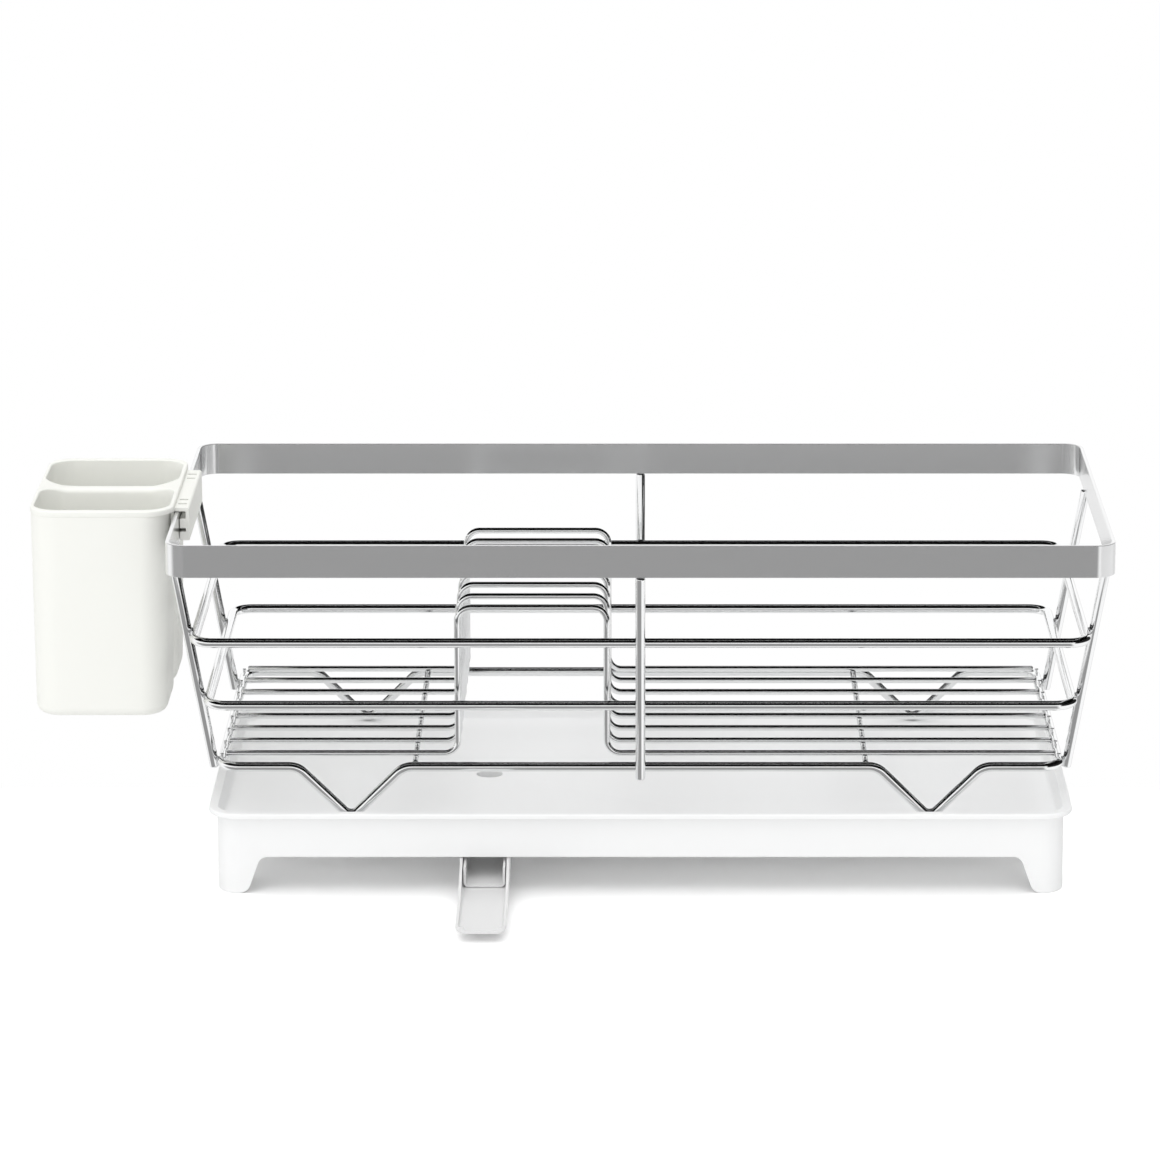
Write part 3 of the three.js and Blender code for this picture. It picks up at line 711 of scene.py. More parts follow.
def loop_path(half_length, half_depth, height, radius, front=(), back=()):
    """A level loop with rounded corners round the rack's middle, with extra corners."""
    def corner(side, row):
        return Vector((RACK.x + side * half_length, RACK.y + row * half_depth, height)), radius
    return rounded_path([
        corner(-1, -1), *front, corner(1, -1), corner(1, 1), *back, corner(-1, 1),
    ], closed=True)


def write_grain(mesh, path, around):
    """Stores the distance along a closed path and round its section for a brushed grain."""
    along = travelled(path)
    count = len(around) - 1
    layer = mesh.uv_layers.new(name=GRAIN)
    for polygon in mesh.polygons:
        rings = [mesh.loops[index].vertex_index // count for index in polygon.loop_indices]
        sides = [mesh.loops[index].vertex_index % count for index in polygon.loop_indices]
        for loop, ring, side in zip(polygon.loop_indices, rings, sides):
            wrapped = max(rings) - min(rings) > 1 and ring == 0
            closing = max(sides) - min(sides) > 1 and side == 0
            u = along[-1] if wrapped else along[ring]
            layer.data[loop].uv = (u, around[-1] if closing else around[side])


class DRAINER_OT_rim(bpy.types.Operator):
    """Add the brushed band round the top of the rack"""

    bl_idname = "drainer.rim"
    bl_label = "Rim band"

    def execute(self, context):
        sizes = context.scene.drainer.rim
        half = sizes.thickness / 2
        half_height = (RIM_HIGH.z - RIM_LOW.z) / 2
        section = flat_path([
            (x * half, z * half_height, sizes.edge) for x, z in ((1, -1), (1, 1), (-1, 1), (-1, -1))
        ], closed=True)
        path = loop_path(
            (RIM_HIGH.x - RIM_LOW.x) / 2 - half,
            (RIM_HIGH.y - RIM_LOW.y) / 2 - half,
            RIM_LOW.z + half_height,
            sizes.corner - half,
        )
        rings = sweep(path, [(point.x, point.y) for point in section], up(1), closed=True)
        piece = add_piece("rim_strip", skin(rings, closed=True))
        write_grain(piece.data, path, travelled(section))
        even_shading(piece)
        finish_piece(piece, "brushed_band", "rack", "rim_band")
        return {"FINISHED"}


def rounded_end(end, way, ring, edge):
    """The rings that narrow a wire's last ring towards its cut end."""
    middle = end - way * edge
    radius = (ring[0] - middle).length
    return [
        [middle + (point - middle) * (1 - edge * back / radius) + way * (edge * out) for point in ring]
        for out, back in quarter(3)[1:]
    ]


def add_wire(node, ending, path, diameter, closed=False):
    """A round polished wire along a path for a node, its cut ends slightly rounded."""
    sizes = bpy.context.scene.drainer.wires
    places = [turned(FULL_TURN * side / sizes.sides, diameter / 2) for side in range(sizes.sides)]
    section = [(place.x, place.y) for place in places]
    if closed:
        rings = sweep(path, section, up(1), closed=True)
    else:
        edge = sizes.cut_edge
        first = (path[1] - path[0]).normalized()
        last = (path[-1] - path[-2]).normalized()
        middles = [path[0] + first * edge, *path[1:-1], path[-1] - last * edge]
        rings = sweep(middles, section, up(1) if abs(first.z) < STEEP else flat(0, 1))
        starts = rounded_end(path[0], -first, rings[0], edge)
        rings = starts[::-1] + rings + rounded_end(path[-1], last, rings[-1], edge)
    piece = add_piece(node + ending, skin(rings, closed))
    finish_piece(piece, "polished_wire", "rack", node)


def ring_path(name):
    """The centre line of a ring of the rack, with the V legs in the base ring."""
    sizes = bpy.context.scene.drainer.wires
    low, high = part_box(name)
    half_length = (high.x - low.x) / 2 - sizes.ring / 2
    half_depth = (high.y - low.y) / 2 - sizes.ring / 2
    height = high.z - sizes.ring / 2
    if name != "base_ring":
        return loop_path(half_length, half_depth, height, sizes.ring_corner)
    slope = math.radians(45)
    toe_height = low.z + sizes.ring / 2
    drop = height - toe_height + sizes.leg_toe * (1 / math.cos(slope) - 1)
    reach = drop / math.tan(slope)

    def legs(row):
        """The corners of both legs of a row, in the order of the loop."""
        y = RACK.y + row * half_depth
        bends = (
            (-1, 0, sizes.leg_shoulder), (0, drop, sizes.leg_toe), (1, 0, sizes.leg_shoulder),
        )
        return [
            (Vector((RACK.x - row * (side * sizes.leg_place + step * reach), y, height - fall)), bend)
            for side in (-1, 1) for step, fall, bend in bends
        ]
    return loop_path(half_length, half_depth, height, sizes.ring_corner, legs(-1), legs(1))


class DRAINER_OT_rings(bpy.types.Operator):
    """Add the three polished rings of the rack, the lowest with its V legs"""

    bl_idname = "drainer.rings"
    bl_label = "Rings"

    def execute(self, context):
        for name in RINGS:
            add_wire(name, "_bend", ring_path(name), context.scene.drainer.wires.ring, closed=True)
        return {"FINISHED"}


def rod_axis(name):
    """The foot and top of a rod's axis; a rod leans away from the rack's middle."""
    radius = bpy.context.scene.drainer.wires.ring / 2
    low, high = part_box(name)
    foot = Vector(centre_of(name))
    top = foot.copy()
    foot.z, top.z = low.z, high.z
    axis = 0 if high.x - low.x > high.y - low.y else 1
    away = foot[axis] > RACK[axis]
    foot[axis] = low[axis] + radius if away else high[axis] - radius
    top[axis] = high[axis] - radius if away else low[axis] + radius
    return foot, top


class DRAINER_OT_rods(bpy.types.Operator):
    """Add the six leaning rods that carry the band"""

    bl_idname = "drainer.rods"
    bl_label = "Rods"

    def execute(self, context):
        sizes = context.scene.drainer.wires
        for name in RODS:
            foot, top = rod_axis(name)
            lean = (top - foot).normalized()
            end_drop = sizes.ring / 2 * math.hypot(lean.x, lean.y)
            path = [foot + lean * end_drop, top + up(RIM_LOW.z - top.z)]
            add_wire(name, "_wire", path, sizes.ring)
        return {"FINISHED"}


class DRAINER_OT_floor_wires(bpy.types.Operator):
    """Add the eight floor wires with their plate arches, and the two cross wires"""

    bl_idname = "drainer.floor_wires"
    bl_label = "Floor wires"

    def execute(self, context):
        sizes = context.scene.drainer.wires
        left = RACK.x - sizes.arch_middle - sizes.arch_width / 2
        right = left + sizes.arch_width
        for name in FLOOR_WIRES:
            low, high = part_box(name)
            y = centre_of(name)[1]
            floor = low.z + sizes.floor / 2
            crown = high.z - sizes.floor / 2
            places = [
                (low.x, floor), (left, floor), (left, crown),
                (right, crown), (right, floor), (high.x, floor),
            ]
            path = rounded_path([(Vector((x, y, z)), sizes.arch_bend) for x, z in places])
            add_wire(name, "_bent", path, sizes.floor)
        for name in CROSS_WIRES:
            x, _, z = centre_of(name)
            path = [Vector((x, end.y, z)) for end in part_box(name)]
            add_wire(name, "_drawn", path, sizes.floor)
        return {"FINISHED"}


def weld_shell(start, end):
    """A weld between two wires: a short bridge that flares out where it meets them."""
    sizes = bpy.context.scene.drainer.wires
    across = (end - start).orthogonal().normalized()
    aside = (end - start).normalized().cross(across)
    rings = []
    for step in range(WELD_STEPS + 1):
        place = step / WELD_STEPS
        radius = sizes.weld + sizes.weld_flare * (2 * place - 1) ** 2
        angles = [FULL_TURN * side / WELD_SIDES for side in range(WELD_SIDES)]
        rings.append([
            start.lerp(end, place) + (across * math.cos(angle) + aside * math.sin(angle)) * radius
            for angle in angles
        ])
    return skin(rings)


class DRAINER_OT_welds(bpy.types.Operator):
    """Add the resistance welds where wires, rods and rings cross"""

    bl_idname = "drainer.welds"
    bl_label = "Welds"

    def execute(self, context):
        sizes = context.scene.drainer.wires
        radius = sizes.ring / 2
        ends = []
        for rod in RODS:
            foot, top = rod_axis(rod)
            axis = 1 if "middle" in rod else 0
            for ring in RINGS:
                low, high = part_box(ring)
                on_rod = foot.lerp(top, (high.z - radius - foot.z) / (top.z - foot.z))
                on_ring = on_rod.copy()
                away = on_rod[axis] > RACK[axis]
                on_ring[axis] = high[axis] - radius if away else low[axis] + radius
                ends.append((on_ring, on_rod))
        for name in FLOOR_WIRES:
            y = centre_of(name)[1]
            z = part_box(name)[0].z + sizes.floor / 2
            below = [(x, BASE_HIGH.z - radius) for x in (BASE_LOW.x + radius, BASE_HIGH.x - radius)]
            below += [centre_of(cross)[::2] for cross in CROSS_WIRES]
            ends += [(Vector((x, y, under)), Vector((x, y, z))) for x, under in below]
        for cross in CROSS_WIRES:
            x, _, z = centre_of(cross)
            for ring_side, wire_end in zip((BASE_LOW, BASE_HIGH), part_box(cross)):
                inward = radius if ring_side.y < RACK.y else -radius
                ends.append((
                    Vector((x, ring_side.y + inward, z)), Vector((x, wire_end.y + inward / 2, z)),
                ))
        piece = add_piece("rack_welds", *(weld_shell(start, end) for start, end in ends))
        finish_piece(piece, "polished_wire", "rack")
        return {"FINISHED"}


# Drip tray


def cut_height_at(profile, distance):
    """The height of the tray's cut-out at a distance from the tray's end."""
    for before, after in zip(profile, profile[1:]):
        if distance <= after.x:
            span = max(after.x - before.x, LEAST_RUN)
            return before.y + (after.y - before.y) * max(0, distance - before.x) / span
    return profile[-1].y


class TrayPlan:
    """The points round the tray, each with a base, an outward direction and a share of a side."""

    def __init__(self, sizes):
        self.half = flat(
            (TRAY_HIGH.x - TRAY_LOW.x) / 2 - sizes.lip_reach,
            (TRAY_HIGH.y - TRAY_LOW.y) / 2 - sizes.lip_reach,
        )
        self.middle = (TRAY_LOW + TRAY_HIGH) / 2
        self.middle.z = 0
        self.bases = []
        self.outward = []
        self.sides = []
        slanted = sizes.foot_width + sizes.foot_slant
        profile = flat_path([
            (0, 0, 0),
            (sizes.foot_width, 0, sizes.foot_toe),
            (slanted, sizes.cut_height, sizes.cut_fillet),
            (slanted + sizes.foot_slant + sizes.cut_fillet, sizes.cut_height, 0),
        ])
        straight = self.half - flat(sizes.corner, sizes.corner)
        for side in range(4):
            self.add_side(side, straight, profile, sizes.corner)
        self.cuts = []
        for point in self.loop(sizes.corner, 0):
            inside = self.half - Vector(map(abs, point - self.middle))
            self.cuts.append(max(cut_height_at(profile, inside.x), cut_height_at(profile, inside.y)))

    def add_side(self, side, straight, profile, corner):
        """Adds the points of a side, from the middle of one corner to the middle of the next."""
        along = turned(side * QUARTER)
        out = flat(along.y, -along.x)
        reach = abs(along.dot(straight))
        level = out * abs(out.dot(straight))

        def add(spot, turn, part):
            """Adds a point; turn is the share of the corner's quarter turn that it leans by."""
            angle = turn * QUARTER
            self.bases.append(self.middle + (level + along * spot))
            self.outward.append(out * math.cos(angle) + along * math.sin(angle))
            self.sides.append((side, part))

        half_steps = TRAY_CORNER_STEPS // 2
        for step in range(half_steps):
            add(-reach, (step - half_steps) / TRAY_CORNER_STEPS, CORNER_SHARE * step / half_steps)
        places = [0.0, *(point.x - corner for point in profile if point.x > corner)]
        places += [reach * part for part in SIDE_PARTS if reach * part > places[-1]]
        spots = [-reach + place for place in places] + [0.0]
        spots += [reach - place for place in reversed(places)]
        for spot in spots:
            part = (spot + reach) / (2 * reach)
            add(spot, 0, CORNER_SHARE + (1 - 2 * CORNER_SHARE) * part)
        for step in range(1, half_steps):
            add(reach, step / TRAY_CORNER_STEPS, 1 - CORNER_SHARE * (1 - step / half_steps))

    def loop(self, reach, height):
        """The loop at a distance from the corners' centres, level or with a height each."""
        heights = height if isinstance(height, list) else [height] * len(self.bases)
        return [
            base + out * reach + up(level)
            for base, out, level in zip(self.bases, self.outward, heights)
        ]

    def edge_loop(self, reach, lift):
        """The loop at a distance from the corners' centres and a lift above the cut-outs."""
        return self.loop(reach, [cut_height + lift for cut_height in self.cuts])


class Funnel:
    """The shallow upside-down pyramid of the tray's floor, round the drain."""

    def __init__(self, sizes, plan, drain):
        margin = sizes.dish_inset + sizes.dish_slant + sizes.funnel_margin
        self.drain = drain
        self.half_length = drain.x - plan.middle.x + plan.half.x - margin
        self.half_depth = plan.half.y - margin
        self.drop = sizes.funnel_drop
        corners = [flat(x * self.half_length, y * self.half_depth) for x, y in SQUARE]
        self.places = [
            (corners[side], corners[(side + 1) % 4], part) for side, part in plan.sides
        ]

    def placed(self, offset, height, sloping=True):
        """An offset from the drain at a height, less the floor's fall from the funnel's border."""
        share_out = max(abs(offset.x) / self.half_length, abs(offset.y) / self.half_depth)
        fall = self.drop * max(0.0, 1 - share_out) if sloping else 0
        return self.drain + offset + up(height - fall)

    def border(self, height):
        """The funnel's rectangle, one point for each of the plan's."""
        return [self.placed(start.lerp(end, part), height) for start, end, part in self.places]

    def circle(self, radius, height, sloping=True):
        """A circle round the drain, on the sloping floor or level."""
        points = []
        for first, last, part in self.places:
            start, end = math.atan2(first.y, first.x), math.atan2(last.y, last.x)
            if end < start:
                end += FULL_TURN
            angle = start + (end - start) * part
            points.append(self.placed(turned(angle, radius), height, sloping))
        return points


class DRAINER_OT_tray(bpy.types.Operator):
    """Add the drip tray with its lip, sloping floor, drain spigot and four feet"""

    bl_idname = "drainer.tray"
    bl_label = "Drip tray"

    def execute(self, context):
        sizes = context.scene.drainer.tray
        plan = TrayPlan(sizes)
        funnel = Funnel(sizes, plan, DRAIN)
        top = TRAY_HIGH.z
        floor = top - sizes.dish_depth
        under = floor - sizes.floor
        outer = sizes.corner
        inner = outer - sizes.wall
        bore = sizes.bore / 2
        edge = sizes.edge
        mouth = sizes.bore_edge
        fillet = sizes.dish_fillet
        wall_foot = outer - sizes.dish_inset - sizes.dish_slant
        profile = flat_path([
            (wall_foot - fillet, floor, 0),
            (wall_foot, floor, fillet),
            (outer - sizes.dish_inset, top, sizes.lip_edge / 2),
            (outer + sizes.lip_reach, top, sizes.lip_edge),
            (outer + sizes.lip_reach, top - sizes.lip_height, sizes.lip_edge),
            (outer, top - sizes.lip_height, edge),
            (outer, sizes.cut_height, 0),
        ])
        spigot = bore + sizes.spigot_wall
        bead = spigot + sizes.bead_reach
        bead_low = sizes.spigot_end
        bead_top = bead_low + sizes.bead_height
        drain_mouth = [
            funnel.circle(bore, bead_low, sloping=False),
            funnel.circle(bore, floor - mouth),
            funnel.circle(bore + mouth * ROUND_MIDDLE, floor - mouth * ROUND_MIDDLE),
            funnel.circle(bore + mouth, floor),
            funnel.border(floor),
        ]
        skirt = [plan.loop(point.x, point.y) for point in profile[:-1]]
        skirt += [plan.edge_loop(outer - edge * back, edge * (1 - out)) for out, back in quarter(3)]
        skirt += [plan.edge_loop(inner + edge * (1 - out), edge * back) for out, back in quarter(3)]
        skirt += [
            plan.loop(inner, under - fillet),
            plan.loop(inner - fillet * ROUND_MIDDLE, under - fillet * ROUND_MIDDLE),
            plan.loop(inner - fillet, under),
        ]
        underside = [
            funnel.border(under),
            funnel.circle(spigot + mouth, under),
            funnel.circle(spigot, under - mouth),
        ]
        underside += [
            funnel.circle(radius, height, sloping=False) for radius, height in (
                (spigot, bead_top), (bead - edge / 2, bead_top), (bead, bead_top - edge / 2),
                (bead, bead_low + edge), (bead - edge, bead_low),
            )
        ]
        piece = add_piece("tray_shell", skin(drain_mouth + skirt + underside, closed=True))
        self.mark_ridges(piece.data, plan, len(drain_mouth) - 1, len(drain_mouth) + len(skirt))
        even_shading(piece)
        finish_piece(piece, "tray_plastic", "tray", "drip_tray")
        return {"FINISHED"}

    def mark_ridges(self, mesh, plan, border, under):
        """Keeps the funnel's border and its four ridges crisp, above and below the floor."""
        count = len(plan.bases)
        corners = [index for index, (_, part) in enumerate(plan.sides) if part == 0]
        ridges = []
        for first in (border - 1, under):
            ridges += [(first * count + spot, (first + 1) * count + spot) for spot in corners]
        for level in (border, under):
            ridges += [
                (level * count + spot, level * count + (spot + 1) % count) for spot in range(count)
            ]
        mark_sharp(mesh, ridges, SOFT_CREASE)


# Spout


def channel_section(width, bottom, top, wall, floor, radius):
    """A channel's section as points, with rounded corners along its bottom."""
    outer = width / 2
    inner = outer - wall
    inside = max(radius - wall, wall)
    return flat_path([
        (-outer, top, 0), (-outer, bottom, radius), (outer, bottom, radius), (outer, top, 0),
        (inner, top, 0), (inner, bottom + floor, inside), (-inner, bottom + floor, inside),
        (-inner, top, 0),
    ], closed=True)


def lathe(profile, middle):
    """A turned solid from (radius, height) pairs that go once round its section."""
    return skin([
        [
            middle + turned(FULL_TURN * step / LATHE_STEPS) * radius + up(height)
            for radius, height in profile
        ]
        for step in range(LATHE_STEPS)
    ], closed=True)


class DRAINER_OT_channel(bpy.types.Operator):
    """Add the swivelling channel with the cup that snaps over the spigot"""

    bl_idname = "drainer.channel"
    bl_label = "Swivelling channel"

    def execute(self, context):
        sizes = context.scene.drainer.spout
        tray = context.scene.drainer.tray
        wall = sizes.channel_wall
        spigot = tray.bore / 2 + tray.spigot_wall
        lip = spigot + sizes.cup_gap
        inside = spigot + tray.bead_reach + sizes.bead_gap
        outside = inside + sizes.cup_wall
        width = TROUGH_HIGH.x - TROUGH_LOW.x - 2 * (sizes.trough_wall + sizes.slide_gap)
        bottom, top = CHANNEL_LOW.z, CHANNEL_HIGH.z
        lip_low = top - sizes.cup_lip
        floor = bottom + wall
        sleeve = [
            (lip, top), (lip, lip_low), (inside, lip_low), (inside, floor),
            (inside, bottom), (outside, bottom), (outside, top),
        ]
        piece = add_piece("channel_moulding", lathe(sleeve, DRAIN))
        round_floor = arc(
            DRAIN, inside + sizes.cup_wall / 2,
            0, FULL_TURN * (LATHE_STEPS - 1) / LATHE_STEPS, LATHE_STEPS - 1,
        )
        disc = skin([[point + up(height) for point in round_floor] for height in (bottom, floor)])
        section = channel_section(width, bottom, top, wall, wall, sizes.corner)
        arm = skin([
            upright(section, y, DRAIN.x) for y in (CHANNEL_LOW.y, RACK.y - inside + wall)
        ])
        cut(piece, [add_piece("base", disc), add_piece("arm", arm)], "UNION")
        reach = width / 2 - wall - sizes.corner / 2
        cut(piece, [block(
            "mouth",
            Vector((DRAIN.x - reach, RACK.y - outside - sizes.cup_wall, floor)),
            Vector((DRAIN.x + reach, RACK.y, lip_low)),
        )])
        shade_moulding(piece, CREASE, sizes.edge)
        # The channel's plastic carries painted shade: a darker grey than the tray's.
        finish_piece(piece, "spout_plastic", "channel", "swivel_channel")
        return {"FINISHED"}


class DRAINER_OT_trough(bpy.types.Operator):
    """Add the sliding trough, whose walls fall towards its open front"""

    bl_idname = "drainer.trough"
    bl_label = "Sliding trough"

    def execute(self, context):
        sizes = context.scene.drainer.spout
        wall = sizes.trough_wall
        middle = (TROUGH_LOW.x + TROUGH_HIGH.x) / 2
        width = TROUGH_HIGH.x - TROUGH_LOW.x
        bottom, top = TROUGH_LOW.z, TROUGH_HIGH.z
        low_top = bottom + sizes.trough_floor + sizes.low_wall
        slope_start = RACK.y - sizes.slope_start
        corner = sizes.front_corner
        stations = [
            (TROUGH_LOW.y + corner * back, corner * (1 - out), low_top) for out, back in quarter(6)
        ]
        stations += [
            (slope_start - sizes.slope_run, 0, low_top), (slope_start, 0, top),
            (TROUGH_HIGH.y, 0, top),
        ]
        rings = []
        for y, inset, wall_top in stations:
            section = channel_section(
                width - 2 * inset, bottom, wall_top, wall, sizes.trough_floor, sizes.corner,
            )
            rings.append(upright(section, y, middle))
        piece = add_piece("trough_moulding", skin(rings))
        tabs = []
        for side in (-1, 1):
            edge = middle + side * (width / 2 - wall)
            left, right = sorted((edge + side * wall / 2, edge - side * sizes.tab_width))
            tabs.append(block(
                "tab",
                Vector((left, TROUGH_HIGH.y - sizes.tab_length, top - sizes.tab_height)),
                Vector((right, TROUGH_HIGH.y, top)),
            ))
        cut(piece, tabs, "UNION")
        shade_moulding(piece, CREASE, sizes.edge)
        # The trough's plastic carries painted shade: a darker grey than the tray's.
        finish_piece(piece, "spout_plastic", "trough", "spout_trough")
        return {"FINISHED"}


# Caddy


def extended(points, *places):
    """The points with straight runs to other places, each given with its number of steps."""
    points = list(points)
    for place, steps in places:
        points += run(points[-1], place, steps) + [place]
    return points


def mirrored(points):
    """Points with their mirror image across the caddy's length, joined by a straight run."""
    other = [flat(-point.x, point.y) for point in reversed(points)]
    return points + run(points[-1], other[0], END_STEPS) + other


class CaddyPlan:
    """Plan outlines of the caddy that share one order of points, for the rear half."""

    def __init__(self, sizes):
        left = CADDY_LOW.x + sizes.body_inset
        right = CADDY_HIGH.x - sizes.deck_reach
        self.sizes = sizes
        self.middle = flat((left + right) / 2, (CADDY_LOW.y + CADDY_HIGH.y) / 2)
        self.half = (right - left) / 2
        self.depth = (CADDY_HIGH.y - CADDY_LOW.y) / 2 - sizes.body_inset
        self.deck = CADDY_HIGH.z - sizes.deck_height

    def cups_edge(self, inset):
        """Round the rear cup from the right waist to the left one."""
        sizes = self.sizes
        radius = sizes.corner
        hollow = (radius - sizes.waist) ** 2 / (2 * sizes.waist)
        reach = self.half - sizes.waist + hollow
        turn = math.atan2(radius, reach - self.half + radius)
        near = flat(self.half - radius, radius)
        far = flat(self.half - radius, self.depth - radius)
        steps = WAIST_STEPS // 2
        bend = radius - inset
        points = arc(flat(reach, 0), hollow + inset, math.pi, math.pi - turn, steps)
        points += arc(near, bend, -turn, 0, steps)[1:]
        points += run(points[-1], far + flat(bend, 0), SIDE_STEPS)
        return mirrored(points + arc(far, bend, 0, QUARTER, CORNER_STEPS))

    def deck_edge(self, inset):
        """Round the rear half of the deck from its right side to its left one."""
        sizes = self.sizes
        right = self.half + sizes.deck_reach - inset
        left = -self.half - sizes.body_inset + inset
        back = self.depth + sizes.body_inset - inset
        bend = sizes.corner - inset
        points = extended([flat(right, 0)], (flat(right, sizes.corner), WAIST_STEPS))
        points += run(points[-1], flat(right, back - bend), SIDE_STEPS)
        points += arc(flat(right - bend, back - bend), bend, 0, QUARTER, CORNER_STEPS)
        other = arc(flat(left + bend, back - bend), bend, QUARTER, math.pi, CORNER_STEPS)
        points += run(points[-1], other[0], END_STEPS) + other
        return extended(
            points, (flat(left, sizes.corner), SIDE_STEPS), (flat(left, 0), WAIST_STEPS),
        )

    def cup_mouth(self, inset):
        """A loop round the inside of the rear cup, from its corner by the right waist."""
        sizes = self.sizes
        right = self.half - sizes.wall - inset
        front = sizes.web / 2 + inset
        back = self.depth - sizes.end_wall - inset
        bend = sizes.corner - sizes.wall - inset
        far = flat(right - bend, back - bend)
        points = arc(flat(right - bend, front + bend), bend, -QUARTER, 0, WAIST_STEPS)
        points += run(points[-1], far + flat(bend, 0), SIDE_STEPS)
        points = mirrored(points + arc(far, bend, 0, QUARTER, CORNER_STEPS))
        return points + run(points[-1], points[0], END_STEPS)

    def web_share(self, point):
        """One on the web between the cups, falling to zero round the mouths' near corners."""
        sizes = self.sizes
        bend = sizes.corner - sizes.wall
        along = 1 - max(abs(point.y) - sizes.web / 2, 0) / bend
        across = (self.half - sizes.wall - abs(point.x)) / bend
        return max(0, min(1, along)) * max(0, min(1, across))

    def rim_mouth(self, out, down, row):
        """A ring on the rounded edge of a mouth, which is lower and rounder along the web."""
        sizes = self.sizes
        ring = []
        for inner, outer in zip(self.cup_mouth(0), self.cup_mouth(-MOUTH_PROBE)):
            web = self.web_share(inner)
            bend = sizes.edge + (sizes.web_edge - sizes.edge) * web
            point = inner + (outer - inner) * (bend * (1 - out) / MOUTH_PROBE)
            wide = sizes.flare * max(0, point.x) / self.half
            height = CADDY_HIGH.z - sizes.web_drop * web - bend * down
            ring.append(self.middle + Vector((point.x + wide, row * point.y, height)))
        return ring

    def placed(self, points, height, row=1):
        """Points set at the caddy's middle and a height, mirrored for the front row."""
        low = (self.deck - height) / (CADDY_HIGH.z - CADDY_LOW.z)
        narrow = self.sizes.lean * max(0, low) / (2 * self.half)
        return [
            self.middle + Vector((point.x - narrow * (point.x + self.half), row * point.y, height))
            for point in points
        ]

    def whole(self, edge, height):
        """A closed loop from the rear half of an outline and its mirrored copy."""
        return self.placed(edge[:-1], height) + self.placed(edge[:0:-1], height, -1)


class DRAINER_OT_caddy(bpy.types.Operator):
    """Add the utensil caddy: two cups under one rim, with drain slots in their floors"""

    bl_idname = "drainer.caddy"
    bl_label = "Utensil caddy"

    def execute(self, context):
        sizes = context.scene.drainer.caddy
        plan = CaddyPlan(sizes)
        edge = sizes.edge
        deck = plan.deck
        rings = [
            plan.whole(
                plan.cups_edge(sizes.draft + sizes.bottom * (1 - out)),
                CADDY_LOW.z + sizes.bottom * rise,
            )
            for out, rise in quarter(6)
        ]
        rings.append(plan.whole(plan.cups_edge(0), deck - edge / 2))
        rings.append(plan.whole(plan.deck_edge(sizes.body_inset), deck))
        rings.append(plan.whole(plan.deck_edge(0), deck + edge / 2))
        rings += [
            plan.whole(plan.deck_edge(edge * back), CADDY_HIGH.z - edge * (1 - out))
            for out, back in quarter(3)
        ]
        outside, caps = skin(rings)
        shells = [(outside, caps[:-1])]
        for row in (1, -1):
            shells += [self.top_face(plan, row), self.hollow(plan, sizes, row)]
        piece = add_piece("caddy_shell", *shells, merge=SAME_PLACE)
        cut(piece, [*self.slot_tools(plan, sizes), self.seat_tool(sizes, deck)])
        shade_moulding(piece, SOFT_CREASE)
        finish_piece(piece, "caddy_plastic", "caddy", "utensil_caddy")
        return {"FINISHED"}

    def top_face(self, plan, row):
        """The flat of the rim round one cup."""
        outline = plan.deck_edge(plan.sizes.edge)
        outline += run(outline[-1], outline[0], END_STEPS)
        across = plan.placed(outline, CADDY_HIGH.z, row)
        for point, place in zip(across, outline):
            if place.y == 0:
                point.z -= plan.sizes.web_drop * plan.web_share(place)
        vertices, faces = skin([across, plan.rim_mouth(0, 0, row)])
        return vertices, faces[:-2]

    def hollow(self, plan, sizes, row):
        """The inside of one cup, from its rounded mouth to its rounded floor."""
        floor = CADDY_LOW.z + sizes.wall
        narrow = sizes.draft + sizes.bottom
        rings = [plan.rim_mouth(out, down, row) for out, down in quarter(4)]
        rings.append(plan.placed(plan.cup_mouth(0), plan.deck - sizes.web_edge, row))
        rings += [
            plan.placed(plan.cup_mouth(narrow - sizes.bottom * out), floor + sizes.bottom * rise, row)
            for out, rise in reversed(quarter(6))
        ]
        vertices, faces = skin(rings)
        return vertices, faces[:-2] + faces[-1:]

    def slot_tools(self, plan, sizes):
        """Blocks that cut the drain slots through both cups' floors."""
        half = Vector((sizes.slot_length / 2, sizes.slot_width / 2, 2 * sizes.wall))
        middle = (sizes.slots - 1) / 2
        tools = []
        for row in (-1, 1):
            for slot in range(sizes.slots):
                y = row * plan.depth / 2 + (slot - middle) * sizes.slot_pitch
                place = Vector((plan.middle.x, plan.middle.y + y, CADDY_LOW.z))
                tools.append(block("slot", place - half, place + half))
        return tools

    def seat_tool(self, sizes, deck):
        """A block that cuts the hook's seat out of the deck's underside."""
        gap = SEAT_GAP * sizes.edge
        low = Vector((CADDY_HIGH.x - sizes.deck_reach, HOOK_LOW.y - gap, deck - sizes.wall))
        high = Vector((CADDY_HIGH.x + sizes.wall, HOOK_HIGH.y + gap, HOOK_HIGH.z + gap))
        return block("seat", low, high)


